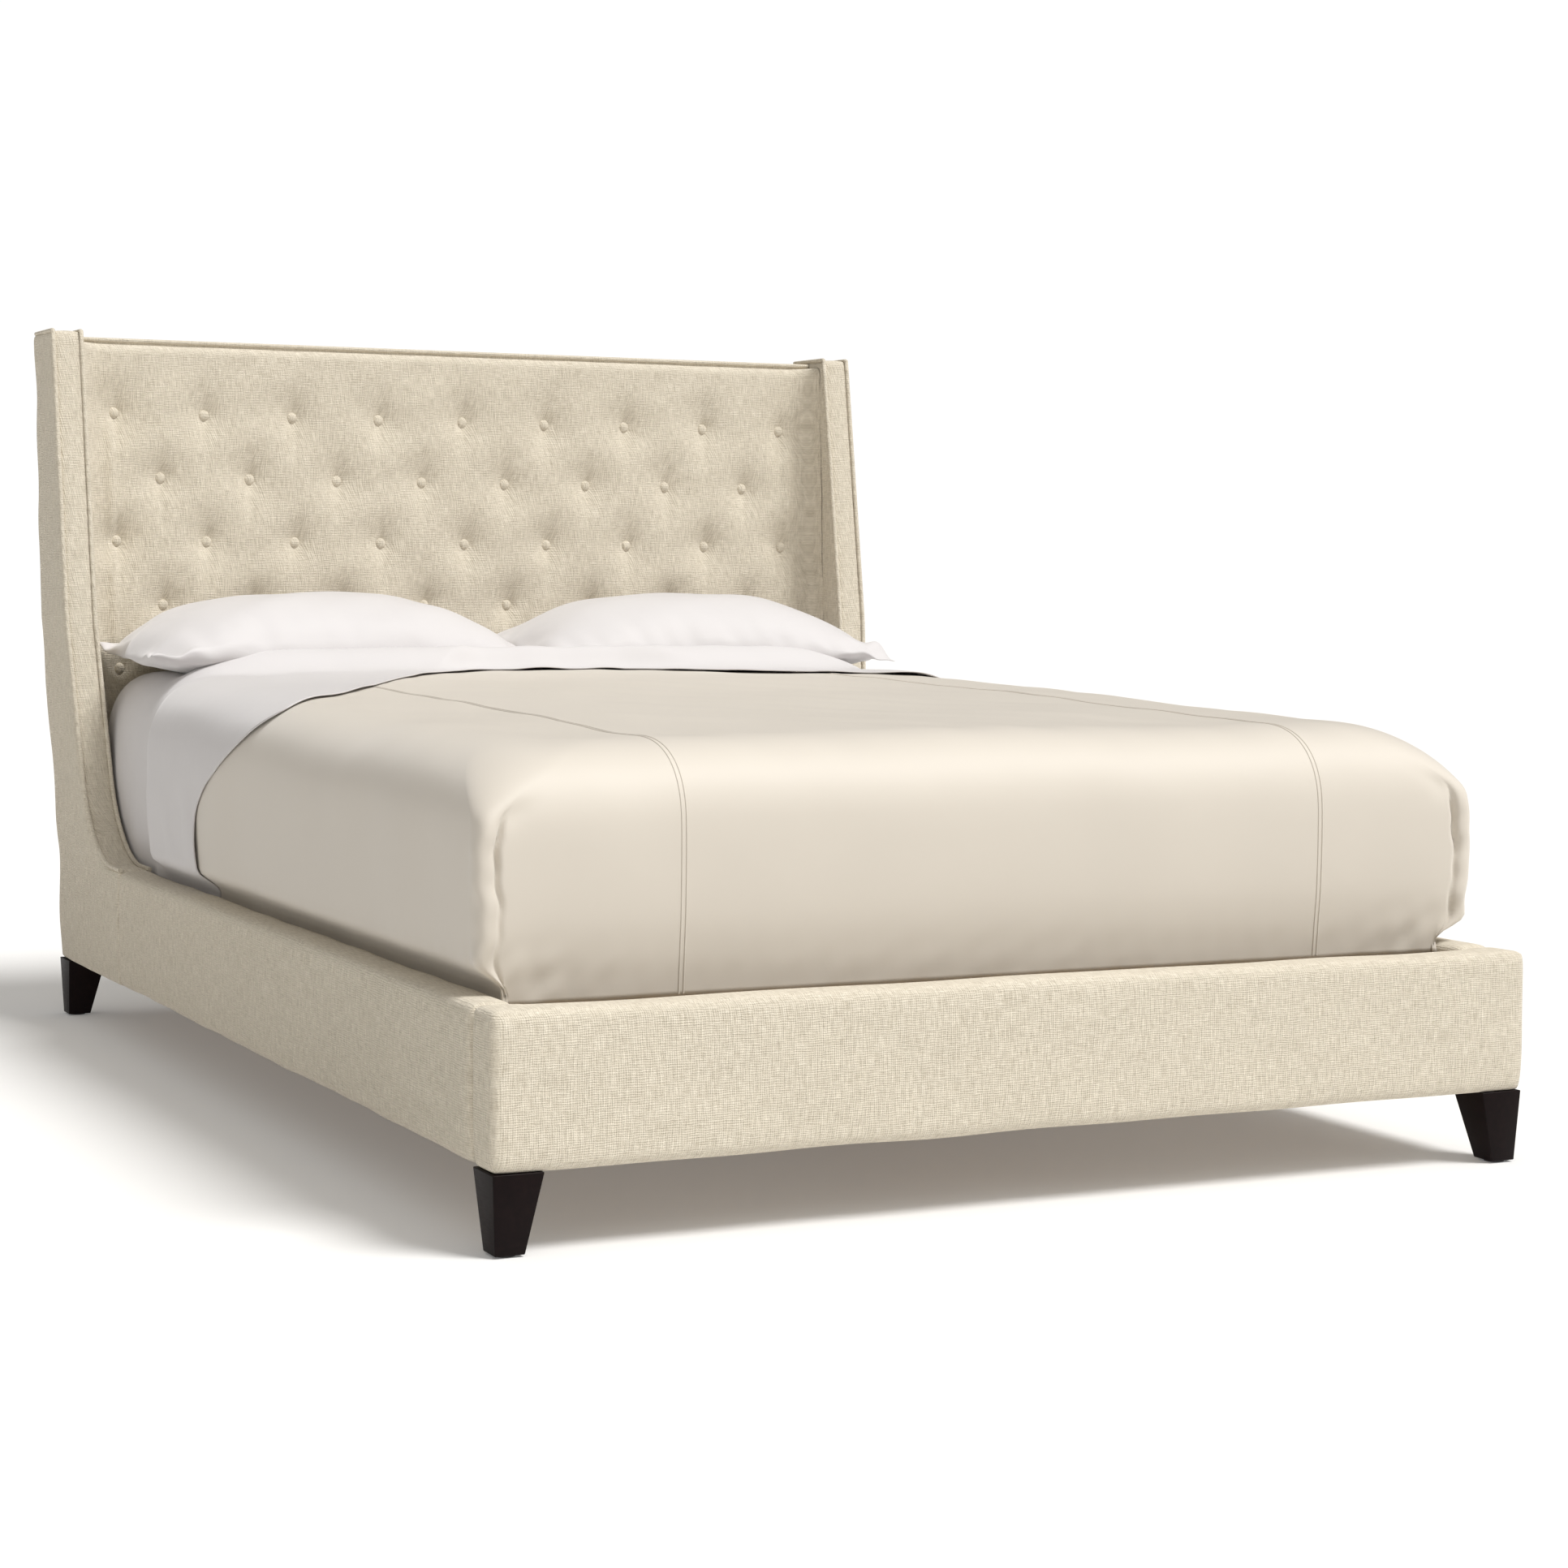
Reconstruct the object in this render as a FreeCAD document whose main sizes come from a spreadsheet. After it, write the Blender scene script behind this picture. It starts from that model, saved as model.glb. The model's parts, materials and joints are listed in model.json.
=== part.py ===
import FreeCAD, Part
import os
import re
import Sketcher

# An upholstered wing bed with its bedding, in millimetres.
# The foot is at -Y, the headboard at +Y, +Z is up, and the origin is the middle of the
# bed's box on the floor. Right-hand pieces are at +X, and left-hand ones mirror them.

doc = FreeCAD.newDocument("UpholsteredBed")

# Driving dimensions ------------------------------------------------------------------
sizes = [
    ("overallWidth", 1660, "outer faces of the side rails"),
    ("overallLength", 2391, "foot face to the top of the raked headboard"),
    ("headHeight", 1316, "floor to the top of the wings"),
    ("legHeight", 110, "floor to the underside of the rails"),
    ("railHeight", 211, "height of the padded rails"),
    ("rake", 73, "how far the headboard leans back over its height"),
    ("sideThickness", 62, "thickness of a padded rail or wing"),
    ("boardThickness", 25, "timber of the rails, foot board and wing cores"),
    ("coreInset", 19, "padding outside the timber"),
    ("endWall", 12, "padding above and below the timber"),
    ("footThickness", 64, "thickness of the padded foot board"),
    ("footReturn", 76, "how far the foot cover wraps along each side"),
    ("wingBaseDepth", 450, "back of the headboard to the seam with the side rail"),
    ("wingTopDepth", 142, "front to back depth of a wing at its top"),
    ("wingKneeDepth", 246, "the same where the slanted front edge would meet the rail top"),
    ("wingSweepRadius", 185, "sweep from the wing's front edge into the rail top"),
    ("wingFlare", 24, "how far a wing stands out sideways at its top"),
    ("flareRise", 450, "height over which the flare grows, from the rail top"),
    ("weltSize", 4, "how far the piping stands out of a cover"),
    ("weltBand", 7, "width of the piping"),
    ("headClearance", 1, "headboard to each wing, and its top below the wings"),
    ("backCoverThickness", 2, "fabric over the back of the headboard"),
    ("frameThickness", 22, "timber frame of the headboard"),
    ("panelThickness", 8, "plywood face of the headboard"),
    ("padThickness", 60, "tufted foam pad of the headboard"),
    ("padRise", 150, "bottom of the tufted pad above the rails' underside"),
    ("postWidth", 60, "width of a headboard post"),
    ("headRailHeight", 100, "height of the headboard frame's cross rails"),
    ("buttonDiameter", 22, "covered buttons"),
    ("buttonThickness", 7, "covered buttons"),
    ("buttonRounding", 4, "rounded front edge of a button"),
    ("buttonSink", 22, "how deep a button is drawn into the pad"),
    ("buttonGap", 1, "free play round a button in its pocket"),
    ("buttonSpacing", 180, "button to button along a row"),
    ("buttonPitch", 123.5, "row to row"),
    ("buttonDrop", 140, "top of the headboard to the first row"),
    ("legTop", 72, "side of a leg's square top"),
    ("legFoot", 42, "side of a leg's square foot"),
    ("legInset", 5, "how far a leg's outer faces come in at the floor"),
    ("glideHeight", 3, "nail-on glides under the corner legs"),
    ("glideDiameter", 30, "nail-on glides under the corner legs"),
    ("studRadius", 4, "hanger bolts that hold the legs"),
    ("studInLeg", 35, "length of a hanger bolt inside its leg"),
    ("studInFrame", 45, "length of a hanger bolt above its leg"),
    ("boltRadius", 4, "bed bolts"),
    ("boltHeadRadius", 8, "bed bolts"),
    ("boltHeadHeight", 7, "bed bolts"),
    ("boltReach", 70, "length of a bed bolt inside the side rail"),
    ("boltSpread", 80, "upper to lower bed bolt"),
    ("nutRadius", 6, "barrel nuts"),
    ("nutSetback", 55, "foot board to the barrel nuts"),
    ("nutEndGap", 2, "barrel nut below each face of the rail board"),
    ("boreGap", 0.2, "radial play of a bolt or screw in timber"),
    ("plateThickness", 4, "steel plate that joins a rail to its wing"),
    ("plateLength", 120, "the same"),
    ("plateHeight", 100, "the same"),
    ("screwRadius", 3, "joint screws"),
    ("screwLength", 20, "joint screws"),
    ("screwSpread", 60, "upper to lower joint screw"),
    ("screwReach", 35, "seam to the joint screws"),
    ("headBoltRadius", 4, "bolts from a wing into the headboard post"),
    ("headBoltLow", 90, "lowest headboard bolt above the rails' underside"),
    ("headBoltStep", 420, "headboard bolt to headboard bolt"),
    ("ledgerTop", 185, "floor to the top of the slat ledgers"),
    ("ledgerHeight", 40, "slat ledgers"),
    ("ledgerWidth", 24, "slat ledgers"),
    ("slatThickness", 18, "slats"),
    ("slatWidth", 90, "slats"),
    ("slatCount", 13, "slats"),
    ("slatEndGap", 2, "slat end to the rail cover"),
    ("deckGap", 30, "end slats to the foot cover and the headboard"),
    ("beamWidth", 70, "centre beam"),
    ("beamHeight", 60, "centre beam"),
    ("hangerThickness", 3, "steel hangers of the centre beam"),
    ("hangerSeat", 45, "length of a hanger under the beam"),
    ("hangerGap", 1, "beam hanger to the foot cover and the headboard"),
    ("supportWidth", 44, "centre support legs"),
    ("supportClear", 34, "floor to the underside of a centre support leg"),
    ("supportStep", 620, "support leg to support leg"),
    ("stemRadius", 5, "threaded stem of a leveller"),
    ("stemGap", 0.2, "radial play of the stem in its insert"),
    ("stemLength", 50, "stem inside the support leg at rest"),
    ("stemTravel", 22, "room above the stem"),
    ("levelFootRadius", 18, "foot of a leveller"),
    ("levelFootHeight", 8, "foot of a leveller"),
    ("foundationHeight", 130, "box foundation"),
    ("foundationInset", 12, "foundation inside the mattress's outline on every side"),
    ("foundationSkin", 3, "cover of the box foundation"),
    ("foundationTimber", 50, "timber ring of the foundation"),
    ("foundationBays", 5, "openings in the foundation's timber frame"),
    ("mattressWidth", 1520, "mattress"),
    ("mattressLength", 2030, "mattress"),
    ("mattressHeight", 310, "mattress"),
    ("mattressRadius", 35, "rounding of the mattress"),
    ("mattressHeadGap", 36, "mattress to the tufted pad at its lower edge"),
    ("sheetThickness", 1.5, "cotton sheets"),
    ("layerGap", 0.5, "between two layers of bedding"),
    ("coverletThickness", 12, "filled coverlet"),
    ("coverletTurn", 412, "head end of the mattress to the coverlet's edge"),
    ("sheetTurn", 215, "head end of the mattress to the flat sheet's turned edge"),
    ("beddingClear", 3, "bottom of the bedding above the rail tops"),
    ("pillowWidth", 760, "side to side"),
    ("pillowDepth", 440, "front to back"),
    ("pillowHeight", 168, "thickness at the middle"),
    ("pillowSide", 8, "pillow to the middle of the bed"),
    ("pillowHeadGap", 14, "pillow to the tufted pad"),
    ("pillowLift", 2, "pillow above the sheets"),
    ("pillowRadius", 60, "rounding of a pillow"),
    ("caseThickness", 2, "pillow cases"),
    ("caseGap", 0.5, "pillow to its case"),
]
sheet = doc.addObject("Spreadsheet::Sheet", "Sizes")
for row, (alias, number, note) in enumerate(sizes, start=1):
    sheet.set(f"A{row}", alias)
    sheet.set(f"B{row}", str(number))
    sheet.set(f"C{row}", note)
    sheet.setAlias(f"B{row}", alias)
doc.recompute()
aliases = {alias for alias, number, note in sizes}

# Places that follow from the sizes, each written once ---------------------------------
places = {
    "halfWidth": "overallWidth / 2",
    "footFace": "-overallLength / 2",
    "footInner": "footFace + footThickness",
    "returnEnd": "footFace + footReturn",
    "backBase": "overallLength / 2 - rake",
    "wingRise": "headHeight - legHeight",
    "rakeAngle": "atan(rake / wingRise)",
    "railTop": "legHeight + railHeight",
    "seamY": "backBase - wingBaseDepth",
    "sideInner": "halfWidth - sideThickness",
    "coreOuter": "halfWidth - coreInset",
    "coreInner": "coreOuter - boardThickness",
    "coreMiddle": "coreOuter - boardThickness / 2",
    "coreBottom": "legHeight + endWall",
    "coreTop": "railTop - endWall",
    "footCore": "footFace + coreInset",
    "footCoreBack": "footCore + boardThickness",
    "railMiddle": "legHeight + railHeight / 2",
    "frameFront": "backCoverThickness + frameThickness",
    "panelFront": "frameFront + panelThickness",
    "padFront": "panelFront + padThickness",
    "headHalf": "sideInner - headClearance",
    "headTop": "wingRise / cos(rakeAngle) - 2 * weltBand",
    "slatTop": "ledgerTop + slatThickness",
    "deckFoot": "footInner + deckGap",
    "deckHead": "backBase - frameFront - deckGap",
    "beamBottom": "ledgerTop - beamHeight",
    "mattressHead": "backBase - padFront - mattressHeadGap",
    "mattressFoot": "mattressHead - mattressLength",
    "mattressBottom": "slatTop + foundationHeight",
    "mattressTop": "mattressBottom + mattressHeight",
    "beddingBottom": "railTop + beddingClear",
    "flatOffset": "sheetThickness + 2 * layerGap",
    "coverletOffset": "flatOffset + sheetThickness + layerGap",
    "pillowBottom": "mattressTop + flatOffset + sheetThickness + pillowLift",
    "pillowBack": "backBase - padFront + (pillowBottom - legHeight) * rake / wingRise"
    " - pillowHeadGap",
}


def formula(text):
    """Spells a place or a size out as an expression on the spreadsheet's cells."""

    def spell(match):
        word = match.group(0)
        if word in places:
            return "(" + formula(places[word]) + ")"
        return "Sizes." + word if word in aliases else word

    return re.sub(r"[A-Za-z]+", spell, str(text))


def value(text):
    return float(sheet.evalExpression(formula(text)))


# Building blocks ---------------------------------------------------------------------
nodes = []
planes = {"XY": "XY_Plane", "XZ": "XZ_Plane", "YZ": "YZ_Plane"}


def node(shape_object, label):
    """Marks an object as a finished piece: its label names the piece's file."""
    shape_object.Label = label
    nodes.append(shape_object)
    return shape_object


def block(name, x, y, z):
    """A box between two values on each axis."""
    box = doc.addObject("Part::Box", name)
    for side, low_high in zip(("Length", "Width", "Height"), (x, y, z)):
        box.setExpression(side, formula(f"({low_high[1]}) - ({low_high[0]})"))
    for axis, low_high in zip("xyz", (x, y, z)):
        box.setExpression(f"Placement.Base.{axis}", formula(low_high[0]))
    return box


def rod(name, radius, length, start, axis):
    """A cylinder from a start point along +X, +Y or +Z."""
    turn = {"X": ((0, 1, 0), 90), "Y": ((1, 0, 0), -90), "Z": ((0, 0, 1), 0)}[axis]
    cylinder = doc.addObject("Part::Cylinder", name)
    cylinder.Placement.Rotation = FreeCAD.Rotation(FreeCAD.Vector(*turn[0]), turn[1])
    cylinder.setExpression("Radius", formula(radius))
    cylinder.setExpression("Height", formula(length))
    for letter, place in zip("xyz", start):
        cylinder.setExpression(f"Placement.Base.{letter}", formula(place))
    return cylinder


def cut(name, base, tool):
    result = doc.addObject("Part::Cut", name)
    result.Base = base
    result.Tool = tool
    return result


def common(name, base, tool):
    result = doc.addObject("Part::Common", name)
    result.Base = base
    result.Tool = tool
    return result


def fuse(name, shapes):
    result = doc.addObject("Part::MultiFuse", name)
    result.Shapes = shapes
    return result


def group(name, members):
    """Separate solids kept together as one piece or one cutting tool."""
    result = doc.addObject("Part::Compound", name)
    result.Links = members
    return result


def mirrored(name, source, across=(1, 0, 0)):
    result = doc.addObject("Part::Mirroring", name)
    result.Source = source
    result.Normal = FreeCAD.Vector(*across)
    return result


def both_sides(name, right):
    """Keeps a right-hand piece and its mirror as two nodes."""
    node(right, name + "_right")
    node(mirrored(name + "_left", right), name + "_left")


def sketch(body, name, plane, points, offset="0"):
    """A closed outline on one of the body's own planes. Every corner is dimensioned."""
    drawn = body.newObject("Sketcher::SketchObject", name)
    origin = next(f for f in body.Origin.OriginFeatures if f.Role == planes[plane])
    drawn.AttachmentSupport = [(origin, "")]
    drawn.MapMode = "FlatFace"
    drawn.setExpression("AttachmentOffset.Base.z", formula(offset))
    corners = [FreeCAD.Vector(value(a), value(b), 0) for a, b in points]
    for start, end in zip(corners, corners[1:] + corners[:1]):
        drawn.addGeometry(Part.LineSegment(start, end), False)
    for i, (a, b) in enumerate(points):
        after = (i + 1) % len(points)
        drawn.addConstraint(Sketcher.Constraint("Coincident", i, 2, after, 1))
        for kind, place, now in (("DistanceX", a, corners[i].x), ("DistanceY", b, corners[i].y)):
            made = drawn.addConstraint(Sketcher.Constraint(kind, i, 1, now))
            drawn.setExpression(f"Constraints[{made}]", formula(place))
    return drawn


def slab(name, plane, points, offset, thickness):
    """A body with one outline padded away from its plane."""
    body = doc.addObject("PartDesign::Body", name)
    outline = sketch(body, name + "Outline", plane, points, offset)
    pad = body.newObject("PartDesign::Pad", name + "Pad")
    pad.Profile = outline
    pad.setExpression("Length", formula(thickness))
    outline.Visibility = False
    return body


def rounded(body, radius, edges=None):
    """Rounds the named edges of a body's last feature, or all of them."""
    doc.recompute()
    before = body.Tip
    fillet = body.newObject("PartDesign::Fillet", body.Name + "Rounding")
    fillet.Base = (before, edges or [])
    fillet.UseAllEdges = edges is None
    fillet.setExpression("Radius", formula(radius))
    body.Tip = fillet
    return body


def edges_at(body, matches):
    """Names of the edges of a body whose middle satisfies a test."""
    doc.recompute()
    found = []
    for i, edge in enumerate(body.Tip.Shape.Edges, start=1):
        middle = edge.valueAt((edge.FirstParameter + edge.LastParameter) / 2)
        if matches(middle, edge):
            found.append(f"Edge{i}")
    return found


def leaning(body):
    """Tilts a headboard piece back about the lower back edge of the headboard."""
    body.Placement.Rotation = FreeCAD.Rotation(FreeCAD.Vector(1, 0, 0), -1)
    body.setExpression("Placement.Base.y", formula("backBase"))
    body.setExpression("Placement.Base.z", formula("legHeight"))
    body.setExpression("Placement.Rotation.Angle", formula("-rakeAngle"))
    return body


# Wings -------------------------------------------------------------------------------
# A wing is a side outline met with a band that flares outwards above the rail.
def wing_outline(name, grow, end_grow, seam_grow="0"):
    """Side outline, grown on its front edge by one amount and elsewhere by another."""
    back = f"backBase + ({end_grow})"
    top = f"headHeight + ({end_grow})"
    seam = f"seamY - ({seam_grow})"
    low = f"legHeight - ({end_grow})"
    shelf = f"railTop + ({grow})"
    knee = f"backBase - wingKneeDepth + railHeight * rake / wingRise - ({grow})"
    points = [
        (back, low),
        (f"backBase + rake + ({end_grow})", top),
        (f"backBase + rake - wingTopDepth - ({grow})", top),
        (knee, shelf),
        (seam, shelf),
        (seam, low),
    ]
    body = slab(name, "YZ", points, "0", "halfWidth + 2 * wingFlare")
    knee_y, shelf_z = value(knee), value(shelf)

    def at_knee(middle, edge):
        return abs(middle.y - knee_y) < 0.1 and abs(middle.z - shelf_z) < 0.1

    return rounded(body, f"wingSweepRadius - ({grow})", edges_at(body, at_knee))


def wing_band(name, inner, outer):
    """Flaring wall between two distances from the middle of the bed, seen from the front."""
    low = "legHeight - 2 * endWall"
    high = "headHeight + 2 * endWall"
    bend = "railTop + flareRise"
    points = [
        (inner, low),
        (outer, low),
        (outer, "railTop"),
        (f"{outer} + wingFlare", bend),
        (f"{outer} + wingFlare", high),
        (f"{inner} + wingFlare", high),
        (f"{inner} + wingFlare", bend),
        (inner, "railTop"),
    ]
    start = "-(backBase + 2 * rake)"
    return slab(name, "XZ", points, start, "wingBaseDepth + 4 * rake")


wing_whole = common(
    "WingWhole", wing_outline("WingSide", "0", "0"), wing_band("WingWall", "sideInner", "halfWidth")
)
wing_core_blank = common(
    "WingCoreBlank",
    wing_outline("WingCoreSide", "-endWall", "-endWall"),
    wing_band("WingCoreWall", "coreInner", "coreOuter"),
)

# Joint plates, let flush into the outer faces of the timber at the seam ---------------
plate_box = block(
    "PlateBox",
    ("coreOuter - plateThickness", "coreOuter"),
    ("seamY - plateLength / 2", "seamY + plateLength / 2"),
    ("railMiddle - plateHeight / 2", "railMiddle + plateHeight / 2"),
)


def joint_screws(name, radius):
    screws = []
    for along in ("seamY - screwReach", "seamY + screwReach"):
        for sign in "+-":
            start = ("coreOuter - screwLength", along, f"railMiddle {sign} screwSpread / 2")
            screws.append(rod(f"{name}{len(screws)}", radius, "screwLength", start, "X"))
    return group(name, screws)


right_screws = joint_screws("JointScrewsRight", "screwRadius")
screw_holes = joint_screws("JointScrewHoles", "screwRadius + boreGap")
right_plate = cut("JointPlateRight", plate_box, screw_holes)
node(group("JointPlates", [right_plate, mirrored("JointPlateLeft", right_plate)]), "joint_plates")
node(
    group("JointScrews", [right_screws, mirrored("JointScrewsLeft", right_screws)]),
    "joint_screws",
)
plate_recess = fuse("PlateRecess", [plate_box, screw_holes])


# Bolts from each wing into the headboard posts ----------------------------------------
def head_bolts(name, radius):
    bolts = []
    for i in range(3):
        rise = f"(headBoltLow + {i} * headBoltStep)"
        start = (
            "sideInner - postWidth / 2",
            f"backBase + {rise} * rake / wingRise - backCoverThickness - frameThickness / 2",
            f"legHeight + {rise}",
        )
        reach = "postWidth / 2 + sideThickness - coreInset"
        bolts.append(rod(f"{name}{i}", radius, reach, start, "X"))
    return group(name, bolts)


right_head_bolts = head_bolts("HeadBoltsRight", "headBoltRadius")
head_bolt_holes = head_bolts("HeadBoltHoles", "headBoltRadius + boreGap")
node(
    group("HeadBolts", [right_head_bolts, mirrored("HeadBoltsLeft", right_head_bolts)]),
    "headboard_bolts",
)


# Hanger bolts of the corner legs -------------------------------------------------------
def leg_studs(name, radius):
    studs = []
    for along in ("footCore + boardThickness / 2", "backBase - legTop / 2"):
        start = ("coreMiddle", along, "legHeight - studInLeg")
        studs.append(rod(f"{name}{len(studs)}", radius, "studInLeg + studInFrame", start, "Z"))
    return group(name, studs)


right_studs = leg_studs("StudsRight", "studRadius")
stud_holes = leg_studs("StudHoles", "studRadius + boreGap")
left_stud_holes = mirrored("StudHolesLeft", stud_holes)
node(group("LegStuds", [right_studs, mirrored("StudsLeft", right_studs)]), "leg_studs")

wing_bores = fuse("WingBores", [head_bolt_holes, stud_holes, plate_recess])
wing_core = cut("WingCore", wing_core_blank, wing_bores)
both_sides("wing_core", wing_core)
cover_bores = fuse("WingCoverBores", [wing_core_blank, head_bolt_holes, stud_holes])
both_sides("wing_cover", cut("WingCover", wing_whole, cover_bores))

# Piping along both edges of each wing's front band
bead_ring = cut(
    "BeadRing",
    wing_outline("BeadSide", "weltSize", "0"),
    wing_outline("BeadInside", "0", "weltBand", "weltBand"),
)
outer_bead = wing_band("OuterBeadWall", "(halfWidth - weltBand)", "halfWidth")
inner_bead = wing_band("InnerBeadWall", "sideInner", "(sideInner + weltBand)")
both_sides("wing_outer_welt", common("OuterWelt", bead_ring, outer_bead))
both_sides("wing_inner_welt", common("InnerWelt", bead_ring, inner_bead))


# Side rails ----------------------------------------------------------------------------
def bed_bolts(name, radius, head_radius, reach):
    """Two bolts along +Y, from the front of the foot board into the right side rail."""
    bolts = []
    for sign in "+-":
        place = ("coreMiddle", "footCore", f"railMiddle {sign} boltSpread / 2")
        length = f"boardThickness + {reach}"
        shank = rod(f"{name}Shank{sign == '+'}", radius, length, place, "Y")
        head = rod(f"{name}Head{sign == '+'}", head_radius, "boltHeadHeight", place, "Y")
        bolts.append(fuse(f"{name}{sign == '+'}", [shank, head]))
    return group(name, bolts)


def barrel_nuts(name, radius, gap):
    nuts = []
    for sign in "+-":
        place = (
            f"coreInner + {gap}",
            "footCoreBack + nutSetback",
            f"railMiddle {sign} boltSpread / 2",
        )
        length = f"boardThickness - 2 * {gap}"
        nuts.append(rod(f"{name}{sign == '+'}", radius, length, place, "X"))
    return group(name, nuts)


right_bolts = bed_bolts("BoltsRight", "boltRadius", "boltHeadRadius", "boltReach")
bolt_holes = bed_bolts(
    "BoltHoles", "boltRadius + boreGap", "boltHeadRadius + boreGap", "boltReach + boreGap"
)
bolt_holes_left = mirrored("BoltHolesLeft", bolt_holes)
node(group("BedBolts", [right_bolts, mirrored("BoltsLeft", right_bolts)]), "bed_bolts")
right_nuts = cut("NutsRight", barrel_nuts("NutBlanks", "nutRadius", "nutEndGap"), right_bolts)
node(group("BarrelNuts", [right_nuts, mirrored("NutsLeft", right_nuts)]), "barrel_nuts")
nut_holes = barrel_nuts("NutHoles", "nutRadius + boreGap", "0")

rail_board_blank = block(
    "RailBoardBlank",
    ("coreInner", "coreOuter"),
    ("footCoreBack", "seamY"),
    ("coreBottom", "coreTop"),
)
rail_bores = fuse("RailBores", [bolt_holes, nut_holes, plate_recess])
both_sides("side_rail", cut("RailBoard", rail_board_blank, rail_bores))
rail_cover_whole = block(
    "RailCoverWhole", ("sideInner", "halfWidth"), ("returnEnd", "seamY"), ("legHeight", "railTop")
)
both_sides("side_rail_cover", cut("RailCover", rail_cover_whole, rail_board_blank))

# Foot board and its cover, which wraps a little way along both sides ------------------
foot_board_blank = block(
    "FootBoardBlank",
    ("-coreOuter", "coreOuter"),
    ("footCore", "footCoreBack"),
    ("coreBottom", "coreTop"),
)
foot_bores = fuse("FootBores", [bolt_holes, bolt_holes_left, stud_holes, left_stud_holes])
node(cut("FootBoard", foot_board_blank, foot_bores), "foot_board")
foot_cover_outline = [
    ("-halfWidth", "footFace"),
    ("halfWidth", "footFace"),
    ("halfWidth", "returnEnd"),
    ("sideInner", "returnEnd"),
    ("sideInner", "footInner"),
    ("-sideInner", "footInner"),
    ("-sideInner", "returnEnd"),
    ("-halfWidth", "returnEnd"),
]
foot_cover_whole = slab("FootCoverWhole", "XY", foot_cover_outline, "legHeight", "railHeight")
left_board_blank = mirrored("RailBoardBlankLeft", rail_board_blank)
foot_cavity = fuse(
    "FootCavity",
    [foot_board_blank, rail_board_blank, left_board_blank, stud_holes, left_stud_holes],
)
node(cut("FootCover", foot_cover_whole, foot_cavity), "foot_cover")


# Headboard -----------------------------------------------------------------------------
# Its pieces are drawn upright from the lower back edge and then lean back together.
def head_outline(low, high, trim="0"):
    """Front view between two heights, following the flare of the wings."""
    half = f"(headHalf - {trim})"
    if value(low) > value("railHeight + flareRise"):
        return [(f"-{half}", low), (half, low), (half, high), (f"-{half}", high)]
    start = "railHeight" if value(low) < value("railHeight") else low
    grown = f"({half} + wingFlare * ({start} - railHeight) / flareRise)"
    right = [(f"{half}", low)] if start != low else []
    right += [
        (grown, start),
        (f"({half} + wingFlare)", "railHeight + flareRise"),
        (f"({half} + wingFlare)", high),
    ]
    left = [(f"-{a}", b) for a, b in reversed(right)]
    return right + left


def head_slab(name, outline, front, thickness):
    return leaning(slab(name, "XZ", outline, f"{front} - {thickness}", thickness))


node(
    head_slab(
        "BackCover", head_outline("0", "headTop"), "backCoverThickness", "backCoverThickness"
    ),
    "headboard_back_cover",
)
node(
    head_slab(
        "HeadPanel", head_outline("padRise", "headTop"), "panelFront", "panelThickness"
    ),
    "headboard_panel",
)

post_outline = [
    ("headHalf - postWidth", "0"),
    ("headHalf", "0"),
    ("headHalf", "headTop"),
    ("headHalf - postWidth", "headTop"),
]
post_blank = head_slab("PostBlank", post_outline, "frameFront", "frameThickness")
both_sides("headboard_post", cut("HeadPost", post_blank, head_bolt_holes))

cross_rails = {
    "headboard_bottom_rail": "0",
    "headboard_middle_rail": "(headTop - headRailHeight) / 2",
    "headboard_top_rail": "headTop - headRailHeight",
}
for label, low in cross_rails.items():
    half = "headHalf - postWidth"
    rail_outline = [
        (f"-({half})", low),
        (half, low),
        (half, f"{low} + headRailHeight"),
        (f"-({half})", f"{low} + headRailHeight"),
    ]
    node(head_slab(label + "_slab", rail_outline, "frameFront", "frameThickness"), label)


def button_places():
    """Centres of the buttons: rows of nine and eight, offset by half a spacing."""
    for rank in range(5):
        count = 9 - rank % 2
        for i in range(count):
            across = f"buttonSpacing * {i - (count - 1) / 2}"
            yield across, f"headTop - buttonDrop - {rank} * buttonPitch"


pad_body = slab(
    "TuftedPad", "XZ", head_outline("padRise", "headTop - weltBand"), "panelFront", "padThickness"
)
doc.recompute()
pockets = pad_body.newObject("Sketcher::SketchObject", "ButtonPockets")
front_plane = next(f for f in pad_body.Origin.OriginFeatures if f.Role == planes["XZ"])
pockets.AttachmentSupport = [(front_plane, "")]
pockets.MapMode = "FlatFace"
pockets.setExpression("AttachmentOffset.Base.z", formula("padFront"))
for index, (across, up) in enumerate(button_places()):
    centre = FreeCAD.Vector(value(across), value(up), 0)
    pocket_radius = value("buttonDiameter / 2 + buttonGap")
    pockets.addGeometry(Part.Circle(centre, FreeCAD.Vector(0, 0, 1), pocket_radius), False)
    for kind, place, now in (
        ("DistanceX", across, centre.x),
        ("DistanceY", up, centre.y),
        ("Radius", "buttonDiameter / 2 + buttonGap", pocket_radius),
    ):
        where = (index, 3, now) if kind != "Radius" else (index, now)
        made = pockets.addConstraint(Sketcher.Constraint(kind, *where))
        pockets.setExpression(f"Constraints[{made}]", formula(place))
doc.recompute()
solid_volume = pad_body.Shape.Volume
pocket = pad_body.newObject("PartDesign::Pocket", "ButtonPocketCut")
pocket.Profile = pockets
pocket.setExpression("Length", formula("buttonSink"))
doc.recompute()
assert pad_body.Shape.Volume < solid_volume - 1, "the button pockets cut nothing"
node(leaning(pad_body), "headboard_tufted_pad")

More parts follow.
